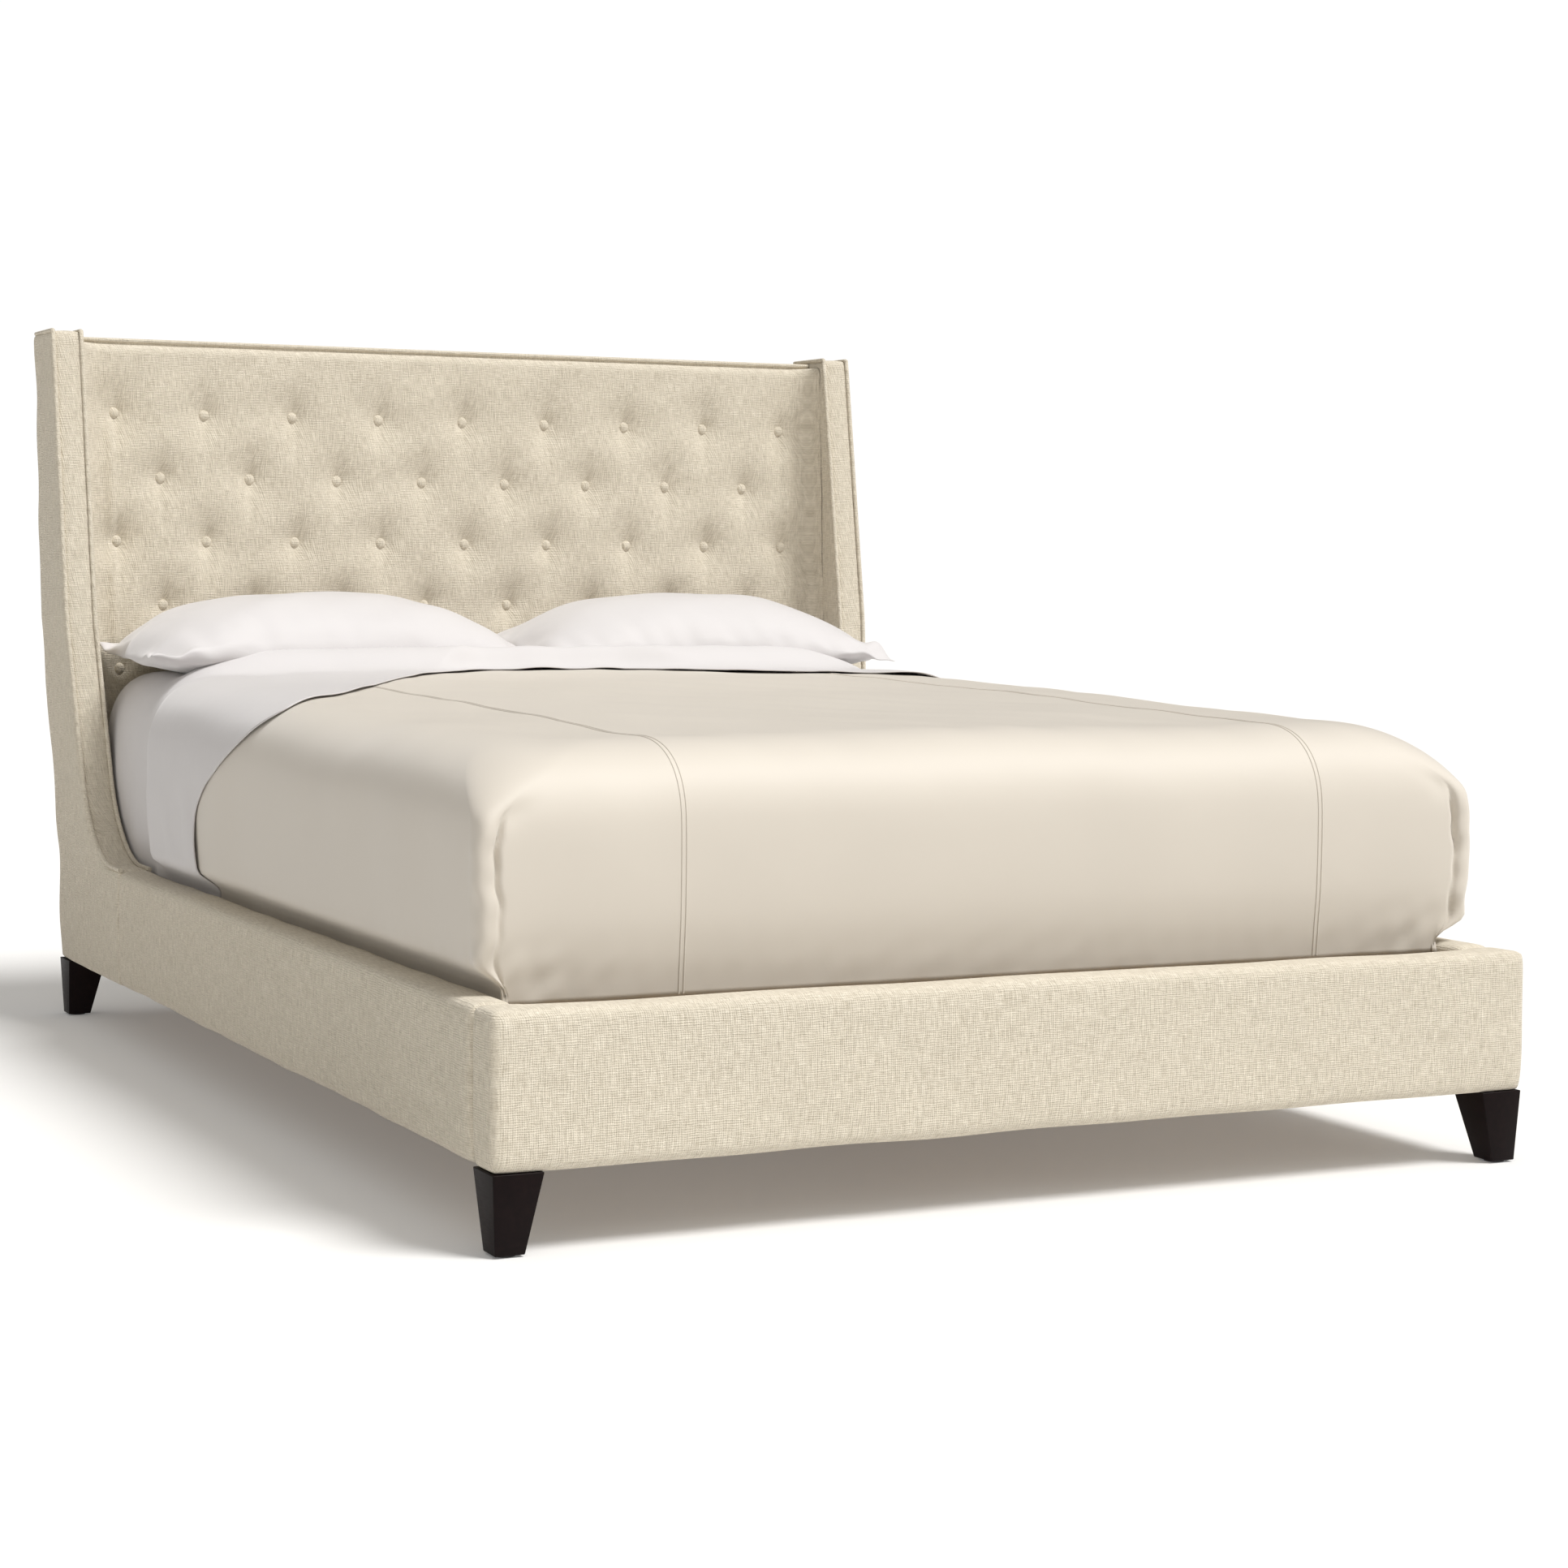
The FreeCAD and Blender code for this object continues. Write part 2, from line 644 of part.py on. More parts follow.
# One covered button, a disc with a rounded front, copied to every pocket
button = Part.makeCylinder(value("buttonDiameter / 2"), value("buttonThickness"))
front_rim = [edge for edge in button.Edges if edge.BoundBox.ZMin > value("buttonThickness") / 2]
button = button.makeFillet(value("buttonRounding"), front_rim)
button.rotate(FreeCAD.Vector(0, 0, 0), FreeCAD.Vector(1, 0, 0), 90)
buttons = doc.addObject("Part::Feature", "Buttons")
buttons.Shape = Part.makeCompound(
    [
        button.translated(FreeCAD.Vector(value(a), -value("padFront - buttonSink"), value(up)))
        for a, up in button_places()
    ]
)
node(leaning(buttons), "tufting_buttons")

welt_outline = [
    ("-(headHalf + wingFlare)", "headTop - weltBand"),
    ("headHalf + wingFlare", "headTop - weltBand"),
    ("headHalf + wingFlare", "headTop"),
    ("-(headHalf + wingFlare)", "headTop"),
]
node(head_slab("TopWelt", welt_outline, "padFront", "weltBand"), "headboard_top_welt")


# Corner legs ---------------------------------------------------------------------------
def leg(name, corner, inward):
    """A leg that tapers on its two inner faces, lofted between its top and its foot."""
    body = doc.addObject("PartDesign::Body", name)

    def square(part, inset, side, level):
        near = f"{corner} + {inward} * {inset}"
        far = f"{corner} + {inward} * ({inset} + {side})"
        out, back = f"halfWidth - {inset}", f"halfWidth - {inset} - {side}"
        points = [(out, near), (out, far), (back, far), (back, near)]
        return sketch(body, name + part, "XY", points, level)

    loft = body.newObject("PartDesign::AdditiveLoft", name + "Loft")
    loft.Profile = square("Foot", "legInset", "legFoot", "glideHeight")
    loft.Sections = [square("Top", "0", "legTop", "legHeight")]
    doc.recompute()
    return cut(name + "Bored", body, stud_holes)


both_sides("leg_foot", leg("LegFoot", "footFace", "1"))
both_sides("leg_head", leg("LegHead", "backBase", "-1"))

glides = []
for corner, inward in (("footFace", "1"), ("backBase", "-1")):
    middle = "(legInset + legFoot / 2)"
    place = (f"halfWidth - {middle}", f"{corner} + {inward} * {middle}", "0")
    glides.append(rod(f"Glide{len(glides)}", "glideDiameter / 2", "glideHeight", place, "Z"))
right_glides = group("GlidesRight", glides)
node(group("Glides", [right_glides, mirrored("GlidesLeft", right_glides)]), "leg_glides")

# Slats, ledgers and the centre beam ------------------------------------------------------
ledger = block(
    "Ledger",
    ("sideInner - ledgerWidth", "sideInner"),
    ("deckFoot", "deckHead"),
    ("ledgerTop - ledgerHeight", "ledgerTop"),
)
both_sides("slat_ledger", ledger)

slat_total = int(value("slatCount"))
slats = []
for i in range(slat_total):
    start = f"deckFoot + {i} * (deckHead - deckFoot - slatWidth) / (slatCount - 1)"
    half = "(sideInner - slatEndGap)"
    slats.append(
        block(
            f"Slat{i}",
            (f"-{half}", half),
            (start, f"{start} + slatWidth"),
            ("ledgerTop", "slatTop"),
        )
    )
node(group("Slats", slats), "slats")

beam_foot = "footInner + hangerGap + hangerThickness"
beam_head = "backBase - frameFront - hangerGap - hangerThickness"
beam_sides = ("-beamWidth / 2", "beamWidth / 2")
beam = block("Beam", beam_sides, (beam_foot, beam_head), ("beamBottom", "ledgerTop"))
node(beam, "centre_beam")
seat = ("beamBottom - hangerThickness", "beamBottom")
upright = ("beamBottom - hangerThickness", "ledgerTop")
foot_hanger = fuse(
    "FootHanger",
    [
        block("FootPlate", beam_sides, ("footInner + hangerGap", beam_foot), upright),
        block("FootSeat", beam_sides, ("footInner + hangerGap", f"{beam_foot} + hangerSeat"), seat),
    ],
)
head_plate_back = "backBase - frameFront - hangerGap"
head_hanger = fuse(
    "HeadHanger",
    [
        block("HeadPlate", beam_sides, (beam_head, head_plate_back), upright),
        block("HeadSeat", beam_sides, (f"{beam_head} - hangerSeat", head_plate_back), seat),
    ],
)
node(group("BeamHangers", [foot_hanger, head_hanger]), "beam_hangers")

# Centre support legs, each with a screw-in leveller ------------------------------------
support_names = {"foot": "-supportStep", "middle": "0", "head": "supportStep"}
for name, along in support_names.items():
    post = block(
        f"Support{name}",
        ("-supportWidth / 2", "supportWidth / 2"),
        (f"{along} - supportWidth / 2", f"{along} + supportWidth / 2"),
        ("supportClear", "beamBottom"),
    )
    bore = rod(
        f"SupportBore{name}",
        "stemRadius + stemGap",
        "stemLength + stemTravel",
        ("0", along, "supportClear"),
        "Z",
    )
    node(cut(f"SupportBored{name}", post, bore), f"support_leg_{name}")
    foot = rod(f"LevelFoot{name}", "levelFootRadius", "levelFootHeight", ("0", along, "0"), "Z")
    stem = rod(f"Stem{name}", "stemRadius", "supportClear + stemLength", ("0", along, "0"), "Z")
    node(fuse(f"Leveller{name}", [foot, stem]), f"leveller_{name}")

# Box foundation --------------------------------------------------------------------------
mattress_half = "mattressWidth / 2"
foundation_half = "(mattressWidth / 2 - foundationInset)"
foundation_foot = "(mattressFoot + foundationInset)"
foundation_head = "(mattressHead - foundationInset)"
foundation_whole = block(
    "FoundationWhole",
    (f"-{foundation_half}", foundation_half),
    (foundation_foot, foundation_head),
    ("slatTop", "mattressBottom"),
)
foundation_timber = block(
    "FoundationTimber",
    (f"-({foundation_half} - foundationSkin)", f"{foundation_half} - foundationSkin"),
    (f"{foundation_foot} + foundationSkin", f"{foundation_head} - foundationSkin"),
    ("slatTop + foundationSkin", "mattressBottom - foundationSkin"),
)
bay_total = int(value("foundationBays"))
bay_origin = f"({foundation_foot} + foundationSkin)"
bay_run = f"({foundation_head} - foundationSkin - foundationTimber - {bay_origin})"
bay_half = f"({foundation_half} - foundationSkin - foundationTimber)"
bays = []
for i in range(bay_total):
    start = f"{bay_origin} + {i} * {bay_run} / foundationBays + foundationTimber"
    end = f"{bay_origin} + {i + 1} * {bay_run} / foundationBays"
    bays.append(
        block(f"Bay{i}", (f"-{bay_half}", bay_half), (start, end), ("slatTop", "mattressBottom"))
    )
node(cut("FoundationFrame", foundation_timber, group("Bays", bays)), "foundation_frame")
node(cut("FoundationCover", foundation_whole, foundation_timber), "foundation_cover")


# Mattress and the layers over it -------------------------------------------------------
def over_mattress(name, grow, drop="0"):
    """The mattress's rounded shape, grown on every side and carried further down."""
    half = f"({mattress_half} + {grow})"
    points = [
        (f"-{half}", f"mattressFoot - {grow}"),
        (half, f"mattressFoot - {grow}"),
        (half, f"mattressHead + {grow}"),
        (f"-{half}", f"mattressHead + {grow}"),
    ]
    level = f"mattressBottom - {grow} - {drop}"
    body = slab(name, "XY", points, level, f"mattressHeight + 2 * {grow} + {drop}")
    return rounded(body, f"mattressRadius + {grow}")


def layer(name, offset, thickness, head_end):
    """A cloth over the mattress, down to just above the rails and up to one place."""
    drop = "2 * mattressRadius"
    shell = cut(
        name + "Shell",
        over_mattress(name + "Outer", f"({offset} + {thickness})", drop),
        over_mattress(name + "Inner", offset, drop),
    )
    wide = f"({mattress_half} + 4 * mattressRadius)"
    keep = block(
        name + "Keep",
        (f"-{wide}", wide),
        ("mattressFoot - 4 * mattressRadius", head_end),
        ("beddingBottom", "mattressTop + 4 * mattressRadius"),
    )
    return common(name, shell, keep)


layers = {
    "fitted_sheet": ("layerGap", "sheetThickness", "mattressHead + 4 * mattressRadius"),
    "flat_sheet": ("flatOffset", "sheetThickness", "mattressHead - sheetTurn"),
    "coverlet": ("coverletOffset", "coverletThickness", "mattressHead - coverletTurn"),
}
node(over_mattress("Mattress", "0"), "mattress")
for label, (offset, thickness, head_end) in layers.items():
    node(layer(label + "_layer", offset, thickness, head_end), label)


# Pillows, each in its case ---------------------------------------------------------------
def pillow_shape(name, grow):
    low, high = f"pillowSide - {grow}", f"pillowSide + pillowWidth + {grow}"
    front = f"pillowBack - pillowDepth - {grow}"
    back = f"pillowBack + {grow}"
    points = [(low, front), (high, front), (high, back), (low, back)]
    level = f"pillowBottom - {grow}"
    body = slab(name, "XY", points, level, f"pillowHeight + 2 * {grow}")
    return rounded(body, f"pillowRadius + {grow}")


filling_gap = "(-caseThickness - caseGap)"
both_sides("pillow", pillow_shape("Pillow", filling_gap))
case = cut("PillowCase", pillow_shape("CaseOuter", "0"), pillow_shape("CaseInner", "-caseThickness"))
both_sides("pillow_case", case)

# Check every object, then write each piece ----------------------------------------------
doc.recompute()
for item in doc.Objects:
    if "Invalid" in item.State or "Error" in item.State:
        raise RuntimeError(f"{item.Label} failed: {item.State}")
for piece in nodes:
    if piece.Shape.isNull() or not piece.Shape.isValid() or not piece.Shape.Solids:
        raise RuntimeError(f"{piece.Label} has no valid solid")
os.makedirs("parts", exist_ok=True)
for piece in nodes:
    piece.Shape.exportStep(f"parts/{piece.Label}.step")
print(len(nodes), "pieces written")
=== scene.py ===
import json
import math
from contextlib import contextmanager

import bmesh
import bpy
import numpy as np
from mathutils import Matrix, Vector
from mathutils.bvhtree import BVHTree


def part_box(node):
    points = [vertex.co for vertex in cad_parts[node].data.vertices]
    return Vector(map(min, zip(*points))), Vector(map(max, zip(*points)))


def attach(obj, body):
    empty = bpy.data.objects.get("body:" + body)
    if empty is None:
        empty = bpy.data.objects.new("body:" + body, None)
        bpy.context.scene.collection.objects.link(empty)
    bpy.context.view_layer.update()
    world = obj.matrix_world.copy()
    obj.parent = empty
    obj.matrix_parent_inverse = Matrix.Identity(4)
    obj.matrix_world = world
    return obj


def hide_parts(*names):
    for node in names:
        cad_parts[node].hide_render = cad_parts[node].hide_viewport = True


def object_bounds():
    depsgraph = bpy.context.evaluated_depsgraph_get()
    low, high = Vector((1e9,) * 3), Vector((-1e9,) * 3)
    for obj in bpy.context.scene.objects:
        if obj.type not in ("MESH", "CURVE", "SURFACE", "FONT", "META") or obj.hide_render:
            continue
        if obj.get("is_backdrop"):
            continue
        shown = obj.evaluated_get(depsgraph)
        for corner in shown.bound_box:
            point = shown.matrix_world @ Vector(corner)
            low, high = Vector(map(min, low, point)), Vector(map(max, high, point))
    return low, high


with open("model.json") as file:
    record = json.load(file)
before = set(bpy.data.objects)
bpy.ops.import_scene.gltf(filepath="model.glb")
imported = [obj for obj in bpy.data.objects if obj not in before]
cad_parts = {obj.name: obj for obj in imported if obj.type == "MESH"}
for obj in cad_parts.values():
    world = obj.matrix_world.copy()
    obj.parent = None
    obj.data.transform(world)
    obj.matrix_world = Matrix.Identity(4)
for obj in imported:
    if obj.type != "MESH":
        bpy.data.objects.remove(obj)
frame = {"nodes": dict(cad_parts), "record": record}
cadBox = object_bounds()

# Places that the frame gives, in metres
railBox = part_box("side_rail_cover_right")
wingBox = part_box("wing_cover_right")
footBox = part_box("foot_cover")
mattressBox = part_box("mattress")
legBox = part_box("leg_head_right")
bed = {
    "halfWidth": railBox[1].x,
    "sideInner": railBox[0].x,
    "railBottom": railBox[0].z,
    "railTop": railBox[1].z,
    "seamY": wingBox[0].y,
    "footFace": footBox[0].y,
    "returnEnd": footBox[1].y,
    "headHeight": wingBox[1].z,
    "backBase": legBox[1].y,
    "backTop": wingBox[1].y,
    "flare": wingBox[1].x - railBox[1].x,
}
rakeAngle = math.atan2(bed["backTop"] - bed["backBase"], bed["headHeight"] - bed["railBottom"])
headTop = (bed["headHeight"] - bed["railBottom"]) / math.cos(rakeAngle) - 0.014
print("frame loaded")


def ripple(points, wavelength, seed, count=7):  # smooth random field between -1 and 1
    rng = np.random.default_rng(seed)
    total = np.zeros(len(points))
    for _ in range(count):
        direction = rng.normal(size=3)
        direction *= 2 * math.pi / wavelength * rng.uniform(0.6, 1.5) / np.linalg.norm(direction)
        total += np.sin(points @ direction + rng.uniform(0, 2 * math.pi))
    return total / math.sqrt(count * 1.2)


def smoothStep(low, high, value):
    share = np.clip((value - low) / (high - low), 0, 1)
    return share * share * (3 - 2 * share)


def readPoints(mesh, what="vertices"):
    flat = np.zeros(len(mesh.vertices) * 3)
    if what == "vertices":
        mesh.vertices.foreach_get("co", flat)
    else:
        mesh.vertices.foreach_get("normal", flat)
    return flat.reshape(-1, 3)


def writePoints(mesh, points):
    mesh.vertices.foreach_set("co", np.asarray(points, np.float32).ravel())
    mesh.update()


def addObject(name, mesh):
    piece = bpy.data.objects.new(name, mesh)
    bpy.context.scene.collection.objects.link(piece)
    return piece


def bakeDown(piece, name=None):  # modifiers become plain mesh, one object stays
    graph = bpy.context.evaluated_depsgraph_get()
    mesh = bpy.data.meshes.new_from_object(piece.evaluated_get(graph))
    name = name or piece.name
    bpy.data.objects.remove(piece)
    mesh.name = name
    return addObject(name, mesh)


def smoothShade(piece, angle=None):
    piece.data.polygons.foreach_set("use_smooth", [True] * len(piece.data.polygons))
    if angle is not None:
        piece.data.set_sharp_from_angle(angle=math.radians(angle))
    return piece


@contextmanager
def editing(mesh):
    work = bmesh.new()
    work.from_mesh(mesh)
    yield work
    work.to_mesh(mesh)
    work.free()


def tidyNormals(mesh, merge=0.0):
    with editing(mesh) as work:
        if merge:
            bmesh.ops.remove_doubles(work, verts=work.verts, dist=merge)
        bmesh.ops.recalc_face_normals(work, faces=work.faces)


def gridMesh(name, grid, cap=None):  # grid is rows x columns x 3; cap closes the border behind
    rows, columns = grid.shape[:2]
    index = np.arange(rows * columns).reshape(rows, columns)
    faces = np.stack(
        [index[:-1, :-1], index[:-1, 1:], index[1:, 1:], index[1:, :-1]], axis=-1
    ).reshape(-1, 4)
    points = grid.reshape(-1, 3).tolist()
    faces = faces.tolist()
    if cap is not None:
        border = [*index[0, :], *index[1:, -1], *index[-1, -2::-1], *index[-2:0:-1, 0]]
        start = len(points)
        points += [list(cap(points[i])) for i in border]
        count = len(border)
        ring = [start + i for i in range(count)]
        for i in range(count):
            after = (i + 1) % count
            faces.append([border[after], border[i], ring[i], ring[after]])
        faces.append(ring)
    mesh = bpy.data.meshes.new(name)
    mesh.from_pydata(points, [], faces)
    tidyNormals(mesh)
    return addObject(name, mesh)


def faceUp(mesh):  # an open skin has no inside, so its upper faces decide
    with editing(mesh) as work:
        if sum(face.normal.z * face.calc_area() for face in work.faces) < 0:
            bmesh.ops.reverse_faces(work, faces=work.faces)


def prism(name, outline, low, high, place):  # outline in two axes, pulled along the third
    points = [place(a, b, low) for a, b in outline] + [place(a, b, high) for a, b in outline]
    count = len(outline)
    faces = [list(range(count)), list(range(2 * count - 1, count - 1, -1))]
    for i in range(count):
        after = (i + 1) % count
        faces.append([i, after, count + after, count + i])
    mesh = bpy.data.meshes.new(name)
    mesh.from_pydata(points, [], faces)
    tidyNormals(mesh)
    return addObject(name, mesh)


def soften(piece, bevel, voxel, smoothing=4):  # rounded edges on an even skin
    rounding = piece.modifiers.new("rounding", "BEVEL")
    rounding.width = bevel
    rounding.segments = 4
    rounding.limit_method = "ANGLE"
    rounding.angle_limit = math.radians(35)
    skin = piece.modifiers.new("skin", "REMESH")
    skin.mode = "VOXEL"
    skin.voxel_size = voxel
    relax = piece.modifiers.new("relax", "SMOOTH")
    relax.iterations = smoothing
    relax.factor = 0.5
    return smoothShade(bakeDown(piece))


def plump(piece, pressure, cap, frames=16, stiffness=15, bending=0.5):
    # blows the cloth up a little from inside, and holds each point near where it began
    before = readPoints(piece.data)
    cloth = piece.modifiers.new("cloth", "CLOTH")
    how = cloth.settings
    how.quality = 5
    how.mass = 0.3
    how.tension_stiffness = stiffness
    how.compression_stiffness = stiffness
    how.shear_stiffness = stiffness / 2
    how.bending_stiffness = bending
    how.use_pressure = True
    how.uniform_pressure_force = pressure
    how.effector_weights.gravity = 0
    how.time_scale = 1
    cloth.collision_settings.use_collision = False
    cloth.point_cache.frame_start = 1
    cloth.point_cache.frame_end = frames
    scene = bpy.context.scene
    for number in range(1, frames + 1):
        scene.frame_set(number)
    graph = bpy.context.evaluated_depsgraph_get()
    swollen = piece.evaluated_get(graph).to_mesh()
    after = readPoints(swollen)
    piece.evaluated_get(graph).to_mesh_clear()
    piece.modifiers.remove(cloth)
    scene.frame_set(1)
    shift = after - before
    length = np.linalg.norm(shift, axis=1, keepdims=True)
    writePoints(piece.data, before + shift * np.minimum(1, cap / np.maximum(length, 1e-9)))
    return piece


def subdivide(piece, levels=1):
    finer = piece.modifiers.new("finer", "SUBSURF")
    finer.levels = levels
    finer.render_levels = levels
    return smoothShade(bakeDown(piece))


def mirroredCopy(piece, name):
    mesh = piece.data.copy()
    mesh.transform(Matrix.Scale(-1, 4, (1, 0, 0)))
    mesh.flip_normals()
    return smoothShade(addObject(name, mesh))


def settle(piece, body, slot, *nodes):  # finish, hide the CAD nodes it stands in for, and ride on its body
    piece.data.materials.clear()
    piece.data.materials.append(looks[slot])
    if nodes:
        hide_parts(*nodes)
    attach(piece, body)
    return piece


class Wire:
    def __init__(self, tree, socket=None):
        self.tree = tree
        self.socket = socket

    def node(self, kind, settings=None, inputs=None, output=0):
        made = self.tree.nodes.new(kind)
        for key, value in (settings or {}).items():
            if key == "stops":
                ramp = made.color_ramp
                while len(ramp.elements) < len(value):
                    ramp.elements.new(0.5)
                for element, (place, colour) in zip(ramp.elements, value):
                    element.position = place
                    element.color = (*colour, 1)
            else:
                setattr(made, key, value)
        for key, value in (inputs or {}).items():
            if isinstance(value, Wire):
                self.tree.links.new(value.socket, made.inputs[key])
            else:
                made.inputs[key].default_value = value
        return Wire(self.tree, made.outputs[output])

    def feed(self, shader, name):
        self.tree.links.new(self.socket, shader.inputs[name])

    def noise(self, vector, scale, detail, **more):
        given = {"Vector": vector, "Scale": scale, "Detail": detail, **more}
        return self.node("ShaderNodeTexNoise", inputs=given)

    def maths(self, operation, first, second=0.0):
        return self.node("ShaderNodeMath", {"operation": operation}, {0: first, 1: second})

    def __add__(self, other):
        return self.maths("ADD", self, other)

    def __radd__(self, other):
        return self.maths("ADD", other, self)

    def __sub__(self, other):
        return self.maths("SUBTRACT", self, other)

    def __rsub__(self, other):
        return self.maths("SUBTRACT", other, self)

    def __mul__(self, other):
        return self.maths("MULTIPLY", self, other)

    def __rmul__(self, other):
        return self.maths("MULTIPLY", other, self)

    def __pow__(self, other):
        return self.maths("POWER", self, other)


def startFinish(name, roughness, sheen=0.0, coat=0.0, metallic=0.0):
    material = bpy.data.materials.new(name)
    material.use_nodes = True
    tree = material.node_tree
    surface = tree.nodes["Principled BSDF"]
    surface.inputs["Roughness"].default_value = roughness
    surface.inputs["Sheen Weight"].default_value = sheen
    surface.inputs["Sheen Roughness"].default_value = 0.5
    surface.inputs["Coat Weight"].default_value = coat
    surface.inputs["Metallic"].default_value = metallic
    return material, Wire(tree), surface


def objectAxes(wire):
    place = wire.node("ShaderNodeTexCoord", output=3)
    x = wire.node("ShaderNodeSeparateXYZ", inputs={0: place}, output=0)
    y = wire.node("ShaderNodeSeparateXYZ", inputs={0: place}, output=1)
    z = wire.node("ShaderNodeSeparateXYZ", inputs={0: place}, output=2)
    return place, x, y, z


def clothAxes(wire):  # across and along the threads, whichever way a face looks
    place, x, y, z = objectAxes(wire)
    normal = wire.node("ShaderNodeTexCoord", output=1)
    upward = wire.maths("ABSOLUTE", wire.node("ShaderNodeSeparateXYZ", inputs={0: normal}, output=2))
    flat = wire.maths("GREATER_THAN", upward, 0.75)
    across = (x + y) * (1 - flat) + x * flat
    along = z * (1 - flat) + y * flat
    return place, across, along


def speckle(wire, across, along, perAcross, perAlong, detail=2.0):  # noise drawn out along the threads
    vector = wire.node("ShaderNodeCombineXYZ", inputs={0: across * perAcross, 1: along * perAlong})
    return wire.noise(vector, 1.0, detail)


def blendColours(wire, share, first, second):
    return wire.node("ShaderNodeMix", {"data_type": "RGBA"}, {0: share, 6: first, 7: second}, output=2)


def setBump(wire, surface, height, strength, distance):
    bump = wire.node(
        "ShaderNodeBump", inputs={"Height": height, "Strength": strength, "Distance": distance}
    )
    bump.feed(surface, "Normal")


linenLook = {
    "dark": (0.42, 0.36, 0.265, 1),
    "light": (0.90, 0.83, 0.695, 1),
    "threadPitch": 0.0032,
    "slubWidth": 430,
    "slubLength": 42,
}


def makeLinen():  # slubbed plain weave in oatmeal
    material, wire, surface = startFinish("oatmealLinen", 0.92, sheen=0.12)
    place, across, along = clothAxes(wire)
    turns = 2 * math.pi / linenLook["threadPitch"]
    wobble = wire.noise(place, 60.0, 1.0)
    warp = wire.maths("SINE", across * turns + wobble * 5)
    weft = wire.maths("SINE", along * turns + wobble * 7)
    slubs = speckle(wire, across, along, linenLook["slubWidth"], linenLook["slubLength"])
    picks = speckle(wire, across, along, 55, 560)
    grain = speckle(wire, across, along, 900, 700, 1.0)
    shades = wire.noise(place, 5.0, 2.0)
    tone = slubs * 0.9 + picks * 0.75 + grain * 0.5 + warp * weft * 0.06 + shades * 0.08 - 0.60
    share = wire.node("ShaderNodeClamp", inputs={0: tone})
    colour = blendColours(wire, share, linenLook["dark"], linenLook["light"])
    colour.feed(surface, "Base Color")
    height = warp * 0.22 + weft * 0.28 + slubs * 1.6 + picks * 1.2 + grain * 0.8
    setBump(wire, surface, height, 0.7, 0.0012)
    return material


def makeCotton(name, shade, crease, sheen, roughness, fine=1400.0):  # close smooth bed linen
    material, wire, surface = startFinish(name, roughness, sheen=sheen)
    place, across, along = clothAxes(wire)
    clouds = wire.noise(place, 4.0, 3.0)
    threads = speckle(wire, across, along, fine, fine * 0.35, 1.0)
    darker = tuple(c * 0.93 for c in shade[:3]) + (1,)
    share = wire.node("ShaderNodeClamp", inputs={0: clouds * 0.8 + threads * 0.35 - 0.1})
    colour = blendColours(wire, share, darker, shade)
    colour.feed(surface, "Base Color")
    creases = wire.noise(place, 9.0, 4.0, Roughness=0.55, Distortion=0.6)
    setBump(wire, surface, creases * crease + threads * 0.03, 0.35, 0.004)
    return material


def makeWood(name, dark, light, roughness, coat, ringScale, shine=0.5):  # long grain with fine pores
    material, wire, surface = startFinish(name, roughness, coat=coat)
    surface.inputs["Specular IOR Level"].default_value = shine
    place = objectAxes(wire)[0]
    stretched = wire.node(
        "ShaderNodeMapping", inputs={"Vector": place, "Scale": (ringScale, ringScale * 0.12, ringScale)}
    )
    grain = wire.noise(stretched, 1.0, 6.0, Distortion=1.2)
    pores = wire.noise(stretched, 9.0, 2.0)
    share = wire.node("ShaderNodeClamp", inputs={0: grain * 1.5 + pores * 0.4 - 0.45})
    blendColours(wire, share, dark, light).feed(surface, "Base Color")
    (roughness + (pores - 0.5) * 0.15).feed(surface, "Roughness")
    setBump(wire, surface, grain * 0.5 + pores * 0.5, 0.2, 0.0006)
    return material


def makeSteel():
    material, wire, surface = startFinish("zincPlatedSteel", 0.35, metallic=1.0)
    place = objectAxes(wire)[0]
    brushed = wire.node("ShaderNodeMapping", inputs={"Vector": place, "Scale": (40, 900, 900)})
    scratches = wire.noise(brushed, 1.0, 3.0)
    colour = blendColours(wire, scratches, (0.48, 0.48, 0.49, 1), (0.74, 0.74, 0.73, 1))
    colour.feed(surface, "Base Color")
    (scratches * 0.25 + 0.22).feed(surface, "Roughness")
    setBump(wire, surface, scratches, 0.15, 0.0003)
    return material


def makeNylon():
    material, wire, surface = startFinish("blackNylon", 0.5)
    place = objectAxes(wire)[0]
    moulded = wire.noise(place, 700.0, 2.0)
    colour = blendColours(wire, moulded, (0.02, 0.02, 0.021, 1), (0.045, 0.044, 0.043, 1))
    colour.feed(surface, "Base Color")
    (moulded * 0.2 + 0.4).feed(surface, "Roughness")
    setBump(wire, surface, moulded, 0.25, 0.0003)
    return material


def makeTicking():  # mattress cover with a faint woven stripe
    material, wire, surface = startFinish("mattressTicking", 0.85, sheen=0.1)
    _, across, along = clothAxes(wire)
    stripe = wire.maths("SINE", across * 260.0)
    threads = speckle(wire, across, along, 800, 300)
    share = wire.node("ShaderNodeClamp", inputs={0: stripe * 0.12 + threads * 0.7 + 0.15})
    colour = blendColours(wire, share, (0.62, 0.61, 0.59, 1), (0.83, 0.82, 0.79, 1))
    colour.feed(surface, "Base Color")
    setBump(wire, surface, threads + stripe * 0.2, 0.3, 0.0006)
    return material


